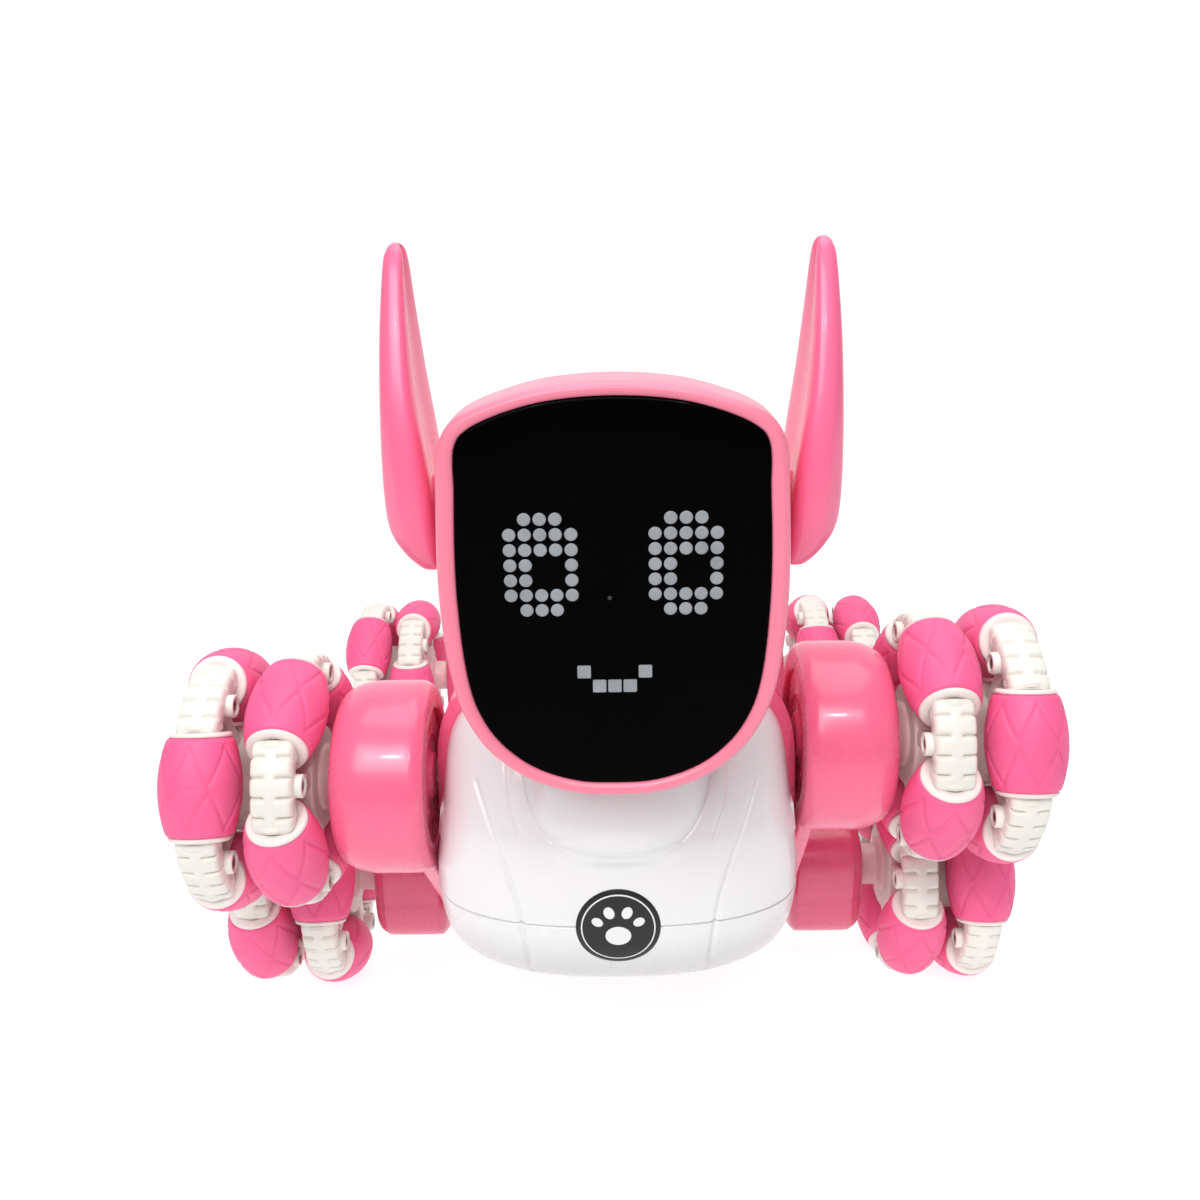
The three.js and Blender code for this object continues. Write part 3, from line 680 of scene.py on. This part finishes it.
def groove_depth(x, z):
    """How far the moulded grooves and the crease beside the bowl sink into the chest at each (|x|, z)."""
    spots = np.stack([np.abs(x), z], 1)
    deep = 1.0 * np.exp(-(distance_to_line(spots, PANEL_GROOVE) / 0.62) ** 2)
    deep += 0.8 * np.exp(-(distance_to_line(spots, BIB_GROOVE) / 0.65) ** 2)
    fade = np.clip((z - 92.5) / 4.0, 0, 1)
    return deep + 1.8 * fade * np.exp(-(distance_to_line(spots, BOWL_CREASE) / 1.1) ** 2)


def chest_front(x, z):
    """Place along Y of the chest's front at (x, z), measured from its foremost point."""
    profile = CHEST_PROFILE if z >= SEAM_Z else KEEL_PROFILE
    order = np.argsort(profile[:, 1])
    front = float(np.interp(z, profile[order, 1], profile[order, 0]))
    corner, power = (30.0, 2.5) if z >= SEAM_Z else keel_corner(z)
    t = min(1.0, abs(x) / chest_half(z))
    return CHEST_Y + front + corner * (1 - (1 - t ** power) ** (1 / power))


BOWL_Y = CHEST_Y + 24.5
BOWL_PROFILE = spline([(0, 88.5), (12, 89), (20, 90.8), (25, 94.2), (27.6, 99.5), (28.3, 107), (27.9, 115.6),
                       (27.2, 117.6)], 8)


def blend_bowl(x, y, z):
    """Lets the chest swell smoothly into the foot of the chin bowl."""
    blend = 6.0 * max(0.0, min(1.0, (97.5 - z) / 4.0))
    if blend <= 0 or z < BOWL_PROFILE[0, 1]:
        return y
    radius = float(np.interp(z, BOWL_PROFILE[:, 1], BOWL_PROFILE[:, 0]))
    bowl = BOWL_Y - np.sqrt(np.maximum(radius ** 2 - x ** 2, 0.0))
    near = np.maximum(blend - np.abs(y - bowl), 0.0) / blend
    return np.minimum(y, bowl) - near ** 2 * blend / 4


def add_chest():
    rings = []
    for front, z in CHEST_PROFILE:
        depth = min(30.0, SPLIT_Y - SEAM_GAP - (CHEST_Y + front))
        outline = superellipse(chest_half(z), max(depth, 0.2), 2.5, 400)
        x = np.array([p[0] for p in outline])
        y = CHEST_Y + front + np.array([p[1] for p in outline])
        facing = np.clip(1 - (y - CHEST_Y - front) / 20.0, 0, 1)
        y = y + groove_depth(x, np.full(len(x), z)) * facing
        y = blend_bowl(x, y, z)
        back = SPLIT_Y - SEAM_GAP
        flank = np.linspace(back, y[0], 8)[:-1]
        ring = [(x[0], v, z) for v in flank] + [(u, v, z) for u, v in zip(x, y)]
        rings.append(ring + [(x[-1], v, z) for v in flank[::-1]])
    rings[0] = [(x * 0.996, y + 0.25, z + SEAM_GAP / 2) for x, y, z in rings[0]]
    shell = loft(rings, closed_ring=False)
    thicken(add_piece("chest_cover_shell", shell, "shell_white", "chassis", ["chest_cover"]))
    outer = [(r, z) for r, z in BOWL_PROFILE]
    inner = [(max(r - WALL, 0), z + 1.6) for r, z in BOWL_PROFILE[:-8]][::-1]
    cup = moved(turned(outer + [(25.6, 117.4)] + inner, 144, "z"), shift(0, BOWL_Y, 0))
    add_piece("chin_bowl", cup, "shell_white", "chassis", merge=0.01)


def thicken(piece):
    """Gives a skin its moulded wall, inwards."""
    modifier = piece.modifiers.new("wall", "SOLIDIFY")
    modifier.thickness = WALL * MM
    modifier.offset = -1.0
    modifier.use_even_offset = False


def keel_corner(z):
    """Depth and power of the front corners, which grow rounder towards the floor."""
    drop = max(0.0, min(1.0, (SEAM_Z - z) / 26.0))
    return 30.0 + 22.0 * drop ** 1.3, 2.5 + 0.15 * drop


def add_lower_shell():
    rings = []
    for front, z in KEEL_PROFILE:
        drop = max(0.0, (FLOOR_Z + 15 - z) / 15)
        half = BODY_HALF - 13 * (1 - math.sqrt(max(0.0, 1 - drop ** 2)))
        tuck = 9.0 * max(0.0, (SEAM_Z - 10 - z) / (SEAM_Z - 10 - FLOOR_Z)) ** 2
        corner, power = keel_corner(z)
        line = np.array([(x, CHEST_Y + front + y) for x, y in superellipse(half, corner, power, 400)])
        near = np.clip(1 - (line[:, 1] - CHEST_Y - front) / 18.0, 0, 1)
        line[:, 1] += groove_depth(line[:, 0], np.full(len(line), z)) * near
        rear = BODY_BACK_Y - tuck
        side_y = np.linspace(line[-1, 1], rear - TAIL, 26)[1:]
        ring = [(x, y, z) for x, y in line] + [(-half, y, z) for y in side_y]
        ring += [(-x, rear - y, z) for x, y in superellipse(half, TAIL, TAIL_POWER, 40)[1:-1]]
        ring += [(half, y, z) for y in side_y[::-1]]
        rings.append(ring)

    def inward(ring, by, z):
        return [(x * (1 - by / BODY_HALF), y * (1 - by / 145.0) + 0.02 * by, z) for x, y, _ in ring]

    top = rings[0]
    rings[0] = inward(top, 0.2, SEAM_Z - SEAM_GAP / 2)
    rings = [inward(top, 0.8, SEAM_Z + 1.2), inward(top, 0.8, SEAM_Z - SEAM_GAP / 2)] + rings
    tub = loft(rings, caps=(False, True))
    add_piece("lower_shell_tub", tub, "tub_white", "chassis", ["lower_shell"])
    add_battery_door(low("battery_pack"), high("battery_pack"))


def rounded_rect(x0, x1, y0, y1, r, steps=6):
    corners = ((x1 - r, y0 + r, -90), (x1 - r, y1 - r, 0), (x0 + r, y1 - r, 90), (x0 + r, y0 + r, 180))
    return [point for cx, cy, start in corners for point in arc(cx, cy, r, r, start, start + 90, steps)]


def plate(outline_of, levels):
    """A flat plate from outlines at (inset, height) levels, capped at both ends."""
    rings = [[(x, y, z) for x, y in outline_of(inset)] for inset, z in levels]
    return loft(rings, caps=(True, True))


def add_battery_door(lo, hi):
    """The pack's flush underside: a door with a finger latch and grip ribs, in a gap whose shadow is painted as a
    dark plate.
    """
    z = FLOOR_Z
    gap = plate(lambda i: rounded_rect(lo.x - 1.2 + i, hi.x + 1.2 - i, lo.y - 1.2 + i, hi.y + 1.2 - i, 3.0),
                [(0, z + 1.0), (0, z - 0.02)])
    # the dark plate round the door is painted shadow in the gap
    add_piece("battery_recess", gap, "dark_plastic", "chassis", smooth=False)
    door = plate(lambda i: rounded_rect(lo.x + i, hi.x - i, lo.y + i, hi.y - i, 2.5),
                 [(0, z + 1.5), (0, z - 0.25), (0.35, z - 0.55)])
    ribs = []
    for i in range(7):
        y = hi.y - 20 + i * 2.4
        ribs.append(plate(lambda i, y=y: rounded_rect(-12 + i, 12 - i, y + i, y + 1.2 - i, 0.55, 3),
                          [(0, z - 0.4), (0, z - 0.85), (0.25, z - 1.05)]))
    latch = plate(lambda i: rounded_rect(-7 + i, 7 - i, lo.y + 1.5 + i, lo.y + 8 - i, 1.5),
                  [(0, z - 0.4), (0, z - 0.9), (0.4, z - 1.1)])
    add_piece("battery_door", combine(door, latch, *ribs), "shell_white", "chassis", ["battery_pack"],
              smooth=False)


def add_back_cover():
    """A long crowned cover with two shallow grooves: arches one behind the other, closing in at the tail."""
    rings = []
    start = SPLIT_Y + SEAM_GAP
    stations = 110
    for i in range(stations + 1):
        y = start + (BODY_BACK_Y - 0.02 - start) * (1 - (1 - i / stations) ** 1.7)
        tail = max(0.0, y - BODY_BACK_Y + TAIL) / TAIL
        half = BODY_HALF * (1 - tail ** TAIL_POWER) ** (1 / TAIL_POWER)
        run = (y - start) / (BODY_BACK_Y - start)
        roof = ROOF_Z - 1.0 - 15.5 * run ** 1.3
        fall = max(0.0, (y - (BODY_BACK_Y - 62)) / 62)
        rise = max((roof - SEAM_Z) * (1 - fall ** 2.6) ** (1 / 2.2), 0.6)
        boxy = 6.5 - 2.9 * min(1.0, run / 0.75)
        depth = 1.1 * max(0.0, min(1.0, (run - 0.06) / 0.02, (0.86 - run) / 0.02))
        ring = []
        for j in range(121):
            a = math.pi * j / 120
            x = half * signed_power(math.cos(a), 2 / boxy)
            z = SEAM_Z + SEAM_GAP + (rise - SEAM_GAP) * abs(math.sin(a)) ** (2 / (boxy - 0.5))
            ring.append((x, y, z - depth * math.exp(-((abs(x) - 17.0) / 1.0) ** 2)))
        rings.append(ring)
    flange = [(x * 0.88, y, SEAM_Z + SEAM_GAP + (z - SEAM_Z - SEAM_GAP) * 0.86) for x, y, z in rings[0]]
    shell = loft([flange] + rings, closed_ring=False)
    thicken(add_piece("back_cover_shell", shell, "cover_pink", "chassis", ["back_cover"]))


def add_badge():
    """A plain round badge with a paw, bent to the chest."""
    centre_z, radius = SEAM_Z + 0.2, 11.5

    def on_chest(x, z, lift):
        return (x, chest_front(x, z) - lift, z)

    def disc(cx, cz, rx, rz, lift, rings=8, around=72, inner=0.0, tilt=0.0):
        rows = []
        for i in range(rings + 1):
            k = inner + (1 - inner) * i / rings
            drop = lift if i < rings else lift - 0.35
            row = []
            for ex, ez in arc(0, 0, k * rx, k * rz, 0, 360, around)[:-1]:
                px = cx + ex * math.cos(tilt) - ez * math.sin(tilt)
                pz = cz + ex * math.sin(tilt) + ez * math.cos(tilt)
                row.append(on_chest(px, pz, drop))
            rows.append(row)
        return loft(rows)

    black = disc(0, centre_z, radius, radius, 0.42, 14, inner=0.004)
    add_piece("chest_badge", black, "badge_black", "chassis")
    white = [disc(0, centre_z, radius * 0.9, radius * 0.9, 0.5, 2, inner=0.94),
             disc(0, centre_z - 2.4, 4.0, 3.3, 0.5, 6, inner=0.01)]
    for angle, reach, size in ((150, 6.5, 1.55), (112, 6.5, 1.75), (68, 6.5, 1.75), (30, 6.5, 1.55)):
        a = math.radians(angle)
        white.append(disc(reach * math.cos(a), centre_z - 1.4 + reach * math.sin(a), size, size * 1.3, 0.5, 4,
                          inner=0.02, tilt=a - math.pi / 2))
    add_piece("badge_paw", combine(*white), "shell_white", "chassis")


# ---- Head ----
# Half outline of the face: (half width, height above the chin).
FACE = [(0, 0), (8.2, 0.35), (16.0, 2.3), (22.6, 5.4), (28.0, 9.6), (32.3, 14.6), (35.8, 21.2), (37.9, 28.5),
        (39.3, 38.5), (HEAD_HALF, 50), (HEAD_HALF - 0.05, 62), (39.5, 73), (39.0, 81.4), (37.7, 86.6),
        (34.7, 90.4), (27.8, 93.9), (15.4, HEAD_HEIGHT - 1.2), (0, HEAD_HEIGHT)]
CHIN_BAND, CROWN_BAND = -0.9, -1.3      # how much the rim's inner edge differs there from the sides


def face_outline(inset=0.0, band=0.0, count=200):
    """The shield, moved in along its normals; band (0 to 1) brings in the rim's width at chin and crown."""
    full = FACE + [(-x, z) for x, z in reversed(FACE[1:-1])]
    line = spline(full, 12, closed=True)
    steps = np.linalg.norm(np.roll(line, -1, 0) - line, axis=1)
    along = np.concatenate([[0], np.cumsum(steps)])
    closed = np.vstack([line, line[:1]])
    even = np.linspace(0, along[-1], count, endpoint=False)
    points = np.stack([np.interp(even, along, closed[:, i]) for i in (0, 1)], 1)
    tangent = np.roll(points, -1, 0) - np.roll(points, 1, 0)
    normal = np.stack([-tangent[:, 1], tangent[:, 0]], 1) / np.linalg.norm(tangent, axis=1)[:, None]
    chin = np.clip(1 - points[:, 1] / 45.0, 0, 1)
    crown = np.clip((points[:, 1] - HEAD_HEIGHT + 22) / 18.0, 0, 1)
    depth = inset + band * (CHIN_BAND * chin + CROWN_BAND * crown)
    points = points + normal * depth[:, None]
    return [(x, CHIN_Z + z) for x, z in points]


def face_ring(y, inset, band=0.0):
    return [(x, y, z) for x, z in face_outline(inset, band)]


def add_head():
    front, seam = NOSE_Y, NOSE_Y + FRAME_DEPTH
    section = [(4.4, 1.0, 4.4), (4.4, 1.0, 1.4), (4.2, 1.0, 0.85), (3.75, 0.9, 0.5), (2.9, 0.65, 0.18),
               (2.0, 0.4, 0.0), (1.2, 0.2, 0.3), (0.55, 0.1, 1.0), (0.15, 0, 2.1), (0, 0, 3.6),
               (0, 0, FRAME_DEPTH - 0.9),
               (0.12, 0, FRAME_DEPTH - 0.4), (0.5, 0, FRAME_DEPTH - 0.15), (2.6, 0, FRAME_DEPTH - 0.15)]
    rings = [face_ring(front + y, inset, band) for inset, band, y in section]
    rim = loft(rings, closed_path=True)
    add_piece("head_frame_shell", rim, "frame_pink", "head", ["head_frame"])

    lens_section = [(4.5, 3.6), (4.5, 1.25), (4.7, 0.98), (5.2, 0.86), (6.0, 0.82)]
    rings = [face_ring(front + y, inset, 1.0) for inset, y in lens_section]
    for k in (0.8, 0.5, 0.2, 0.02):
        rings.append([(x * k, front + 0.82, EYE_Z + (z - EYE_Z) * k) for x, _, z in rings[4]])
    glass = loft(rings, caps=(True, True))
    add_piece("display_lens_glass", glass, "display_black", "head", ["display_lens"])
    add_display(front + 0.68)
    add_head_back(seam + 0.2)


EYE_X, EYE_Z = 16.3, 181.5
EYE_ROWS = ("01110", "11111", "11111", "11001", "11001", "11111", "01110")
DOT_PITCH = 3.54                        # down a column; along a row they sit a little closer
ROW_DOT_PITCH = 3.46
MOUTH = ((-2, 1), (-1, 0), (0, 0), (1, 0), (2, 1))
MOUTH_Z = 152.2


def dot(x, z, y, radius):
    """One round lamp, a little domed."""
    rows = []
    for r, lift in ((radius, 0.0), (radius, 0.07), (radius * 0.92, 0.12), (radius * 0.5, 0.15)):
        rows.append([(x + c, y - lift, z + s) for c, s in circle(r, 24)])
    return loft(rows, caps=(True, True))


def add_display(y):
    """Two eyes of round dots, a mouth of square ones and a small sensor between them."""
    dots = []
    for side in (-1, 1):
        for row, line in enumerate(EYE_ROWS):
            for column, lit in enumerate(line):
                if lit == "1":
                    x, z = side * EYE_X + (column - 2) * ROW_DOT_PITCH, EYE_Z + (3 - row) * DOT_PITCH
                    dots.append(dot(x, z, y, 1.49))
    add_piece("eye_dots", combine(*dots), "display_dot", "head")
    squares = []
    for column, row in MOUTH:
        x, z = column * DOT_PITCH, MOUTH_Z + row * DOT_PITCH
        outline = rounded_rect(x - 1.55, x + 1.55, z - 1.55, z + 1.55, 0.3, 3)
        ends = [[(a, y - lift, b) for a, b in outline] for lift in (0.0, 0.12)]
        squares.append(loft(ends, caps=(True, True)))
    add_piece("mouth_dots", combine(*squares), "display_dot", "head", smooth=False)
    add_piece("face_sensor", dot(-0.9, 173.6, y, 0.5), "dark_plastic", "head")


def add_head_back(seam):
    """The back of the head: a rounded cup with a groove round its flat panel, and sound slots painted as dark
    patches for the shade inside them.
    """
    depth = HEAD_BACK_Y - seam
    steps = 18
    middle = CHIN_Z + 0.54 * HEAD_HEIGHT
    base = face_ring(seam, 0.55)

    def shrunk(k, y):
        return [(x * k, y, middle + (z - middle) * k) for x, _, z in base]

    rings = [face_ring(seam, 3.0), face_ring(seam, 0.9), face_ring(seam + 0.25, 0.55)]
    for i in range(1, steps + 1):
        a = math.pi / 2 * i / steps
        rings.append(shrunk(1 - 0.40 * (1 - math.cos(a)), seam + 0.4 + (depth - 0.4) * math.sin(a) ** 0.92))
    for k, y in ((0.565, 0.0), (0.55, -0.6), (0.535, -0.6), (0.52, 0.0), (0.3, 0.0), (0.02, 0.0)):
        rings.append(shrunk(k, HEAD_BACK_Y + y - 0.02))
    shell = loft(rings, caps=(True, True))
    add_piece("head_back_shell", shell, "cover_pink", "head", ["head_back"])
    slots = []
    for i in range(5):
        z = CHIN_Z + 62 + i * 4.0
        half = 9.0 - 0.9 * abs(i - 2) ** 2
        outline = rounded_rect(-half, half, z - 0.8, z + 0.8, 0.75, 5)
        ends = [[(x, HEAD_BACK_Y + lift, b) for x, b in outline] for lift in (-1.0, 0.0)]
        slots.append(loft(ends, caps=(True, True)))
    # the sound slots are flat dark patches: painted shade for the openings
    add_piece("head_sound_slots", combine(*slots), "dark_plastic", "head", smooth=False)


def add_neck():
    """A turned post with soft folds and the lug that carries the head."""
    lo, hi = low("neck_post"), high("neck_post")
    base, top = ROOF_Z - 4, ROOF_Z + 12
    profile = [(0, lo.z), (9.8, lo.z), (10.4, lo.z + 0.6), (10.4, base)]
    folds = 5
    for i in range(folds * 8 + 1):
        k = i / (folds * 8)
        profile.append((9.9 + 0.9 * math.cos(2 * math.pi * folds * k), base + (top - base) * k))
    profile += [(10.8, top + 0.4), (10.8, hi.z - 3.5), (10.3, hi.z - 1.4), (8.9, hi.z - 0.2), (7.2, hi.z),
                (0, hi.z)]
    post = moved(turned(profile, 80, "z"), shift(0, NECK_Y, 0))
    outline = rounded_rect(-9.6, 9.6, ROOF_Z + 6, hi.z - 0.5, 3.5, 8)
    lug = loft([[(x * k, y, ROOF_Z + 17 + (z - ROOF_Z - 17) * k) for x, z in outline]
                for y, k in ((lo.y - 0.15, 1.0), (NECK_Y - 8, 1.0), (NECK_Y - 3, 0.93))], caps=(True, True))
    stem = combine(post, lug)
    crease(add_piece("neck_stem", stem, "neck_white", "head", ["neck_post"], merge=0.01), 40)


# ---- Ears ----
def add_ear(name, side):
    """A blade: a crowned outer face, a bevel down its front edge, and a hollowed inner face."""
    node = f"ear_{name}"
    pivot = joint_at(f"ear_{name}_swing")
    near = HEAD_HALF + 0.9
    outer_x = abs(pivot.x) + 9.0
    foot = low(node).z + 0.1
    tall = high(node).z - 0.1 - foot
    front = spline([(-2.0, 0), (-8.6, 0.03), (-13.6, 0.12), (-16.2, 0.27), (-15.0, 0.47), (-9.8, 0.70),
                    (-3.4, 0.88), (0.4, 0.965), (3.0, 0.993), (6.0, 1.0)], 12)
    back = spline([(-2.0, 0), (5.2, 0.02), (12.4, 0.09), (17.6, 0.22), (19.2, 0.41), (17.8, 0.62),
                   (14.4, 0.81), (11.6, 0.94), (9.6, 0.985), (6.0, 1.0)], 12)
    outside = spline([(-8.6, 0), (-6.4, 0.03), (-3.2, 0.085), (-0.8, 0.15), (0.0, 0.24), (0.0, 0.45),
                      (-0.5, 0.72), (-1.4, 0.93), (-2.2, 0.978), (-3.1, 0.995), (-4.2, 1.0)], 12)
    inside = spline([(-10.6, 0), (-12.0, 0.05), (-12.4, 0.14), (-12.0, 0.27), (-10.5, 0.42), (-8.5, 0.62),
                     (-7.2, 0.82), (-6.6, 0.93), (-6.1, 0.975), (-5.3, 0.994), (-4.2, 1.0)], 12)
    # share of the way from front to back, and from the inside to the outside
    section = spline([(0.0, 0.30), (0.012, 0.60), (0.05, 0.76), (0.12, 0.93), (0.22, 0.99), (0.38, 1.0),
                      (0.62, 0.97), (0.84, 0.83), (0.955, 0.62), (1.0, 0.40), (0.965, 0.18), (0.87, 0.04),
                      (0.70, 0.0), (0.48, 0.0), (0.26, 0.0), (0.10, 0.035), (0.025, 0.13)], 5, closed=True)
    rows = 110
    rings = []
    for i in range(rows + 1):
        k = 0.5 - 0.5 * math.cos(math.pi * (0.004 + 0.992 * i / rows))
        f, b, x1, x0 = (np.interp(k, line[:, 1], line[:, 0]) for line in (front, back, outside, inside))
        x0, x1 = max(near, outer_x + x0), outer_x + x1
        z = foot + tall * k
        ring = []
        for across, up in section:
            dent = 1.3 * math.exp(-((across - 0.5) / 0.22) ** 2) * max(0.0, 0.35 - up) / 0.35
            dent *= min(1.0, (k + 0.02) * 8)
            ring.append((x0 + up * (x1 - x0) + dent, pivot.y + f + across * (b - f), z))
        rings.append(ring)
    blade = mirrored(loft(rings, caps=(True, True)), side)
    add_piece(f"{node}_blade", blade, "ear_pink", node, [node])
    boss = turned([(0, HEAD_HALF + 0.5), (7.6, HEAD_HALF + 0.5), (8.2, HEAD_HALF + 1.0), (8.2, near + 2.5),
                   (0, near + 2.5)], 72)
    cap = turned([(0, outer_x - 1.5), (5.0, outer_x - 1.5), (5.0, outer_x + 0.1), (4.5, outer_x + 0.5),
                  (3.2, outer_x + 0.6), (2.9, outer_x + 0.3), (0, outer_x + 0.3)], 56)
    hub = mirrored(moved(combine(boss, cap), shift(0, pivot.y, pivot.z)), side)
    add_piece(f"{node}_boss", hub, "ear_pink", node, merge=0.01)
    add_ear_screw(node, side, pivot, outer_x, foot + 0.735 * tall)


def add_ear_screw(node, side, pivot, outer_x, z):
    """A small screw in the ear's inner face, near the tip."""
    seat = turned([(1.2, -0.15), (1.9, -0.15), (2.1, 0.3), (2.1, 2.2), (1.2, 2.2), (1.2, -0.15)], 32)
    head = turned([(0, 1.5), (1.25, 1.5), (1.25, 0.35), (0.9, 0.1), (0.4, 0.45), (0, 0.45)], 24)
    at = shift(outer_x - 6.9, pivot.y - 3.4, z)
    for part, shape, look in (("screw_seat", seat, "ear_pink"), ("screw", head, "screw_steel")):
        add_piece(f"{node}_{part}", mirrored(moved(shape, at), side), look, node, merge=0.01)


# ---- Stage ----
def floor_paper():
    """Backdrop paper, lit from behind; the glow fades out in front of the toy."""
    paper = moulded("floor_paper", (0.42, 0.42, 0.42), 0.7, 0.01, 200, 0.02)
    tree = paper.node_tree
    shader = tree.nodes["Principled BSDF"]
    glow = ramp(tree, run_along(tree, "Y", -0.75, -0.172), [(0.0, (0.0, 0.0, 0.0)), (1.0, (0.8, 0.8, 0.8))])
    tree.links.new(glow, shader.inputs["Emission Color"])
    shader.inputs["Emission Strength"].default_value = 1.0
    paper.cycles.emission_sampling = "NONE"
    return paper


def add_stage():
    """A pale floor that curves up behind the toy, in metres."""
    profile = [(-1.6, 0.0), *arc(1.6, 0.8, 0.8, 0.8, -90, 0, 12), (2.4, 3.2)]
    verts, faces = loft([[(-3.5, y, z), (3.5, y, z)] for y, z in profile], closed_ring=False)
    mesh = bpy.data.meshes.new("studio_floor")
    mesh.from_pydata(verts, [], faces)
    mesh.materials.append(floor_paper())
    for polygon in mesh.polygons:
        polygon.use_smooth = True
    floor = bpy.data.objects.new("studio_floor", mesh)
    bpy.context.scene.collection.objects.link(floor)


def area_light(name, at, target, size, power, colour=(1, 1, 1)):
    data = bpy.data.lights.new(name, "AREA")
    data.shape = "RECTANGLE"
    data.size, data.size_y = size
    data.energy = power
    data.color = colour
    light = bpy.data.objects.new(name, data)
    light.location = at
    light.rotation_euler = (Vector(target) - Vector(at)).to_track_quat("-Z", "Y").to_euler()
    bpy.context.scene.collection.objects.link(light)


def add_light():
    """A bright ceiling that fades to a dimmer room at eye level, with soft boxes above and in front."""
    world = bpy.data.worlds.new("studio")
    world.use_nodes = True
    tree = world.node_tree
    height = run_along(tree, "Z", 0.0, 1.0, "Generated")
    sky = ramp(tree, height, [(0.0, (0.25, 0.25, 0.25)), (0.9, (1.0, 1.0, 1.0))])
    tree.links.new(sky, tree.nodes["Background"].inputs["Color"])
    tree.nodes["Background"].inputs["Strength"].default_value = 0.36
    bpy.context.scene.world = world
    area_light("key_light", (-0.20, -0.90, 0.90), (0, -0.05, 0.1), (0.9, 0.6), 8.5)
    area_light("top_light", (0.1, 0.15, 1.4), (0, 0.0, 0.0), (1.1, 1.1), 9.0)
    for name, x in (("lamp_left", -0.24), ("lamp_right", 0.24)):
        area_light(name, (x, -0.86, 0.92), (0, -0.10, 0.1), (0.05, 0.05), 1.1)


CAMERA_AHEAD = 364.5                   # from the middle axle, level
CAMERA_Z = 254.6
CAMERA_PITCH = 17.9
CAMERA_YAW = 0.71
CAMERA_ROLL = 1.0
CAMERA_LENS = 35.1


def add_camera():
    data = bpy.data.cameras.new("camera")
    data.lens = CAMERA_LENS
    data.sensor_width = 36.0
    data.clip_start = 0.01
    camera = bpy.data.objects.new("camera", data)
    turn = (Matrix.Rotation(math.radians(CAMERA_YAW), 4, "Z")
            @ Matrix.Rotation(math.radians(90 - CAMERA_PITCH), 4, "X")
            @ Matrix.Rotation(math.radians(-CAMERA_ROLL), 4, "Z"))
    camera.matrix_world = Matrix.Translation(Vector((0, MID_Y - CAMERA_AHEAD, CAMERA_Z)) * MM) @ turn
    bpy.context.scene.collection.objects.link(camera)
    bpy.context.scene.camera = camera


# ---- The whole toy ----
ROLLER_MESHES = {"sleeve": make_mesh("roller_sleeve", *roller_sleeve(), "roller_rubber"),
                 "bush": make_mesh("roller_bush", *roller_bush(), "roller_end")}
CORE_MESHES = {"core": make_mesh("wheel_core", *core_shape(), "wheel_ivory", merge=0.001),
               "screws": make_mesh("wheel_screws", *screw_shape(), "screw_steel", merge=0.001)}

add_camera()
add_light()
add_stage()
for side_name, side_sign in SIDES.items():
    add_wheel(f"front_{side_name}", side_sign, DRUM_OUTER_X)
    for axle in ("mid", "rear"):
        add_wheel(f"{axle}_{side_name}", side_sign, LEG_OUTER_X)
        add_leg(f"{axle}_leg_{side_name}", side_sign)
    for axle in ("front", "mid", "rear"):
        add_rollers(f"{axle}_{side_name}", side_sign)
    add_arm(side_name, side_sign)
    add_ear(side_name, side_sign)
add_chest()
add_lower_shell()
add_back_cover()
add_badge()
add_head()
add_neck()
for plain, slot in (("main_board", "circuit_board"), ("power_switch", "dark_plastic")):
    body_node = frame["nodes"][plain]
    body_node.data.materials.clear()
    body_node.data.materials.append(MATERIALS[slot])
bpy.context.scene.view_settings.view_transform = "Standard"
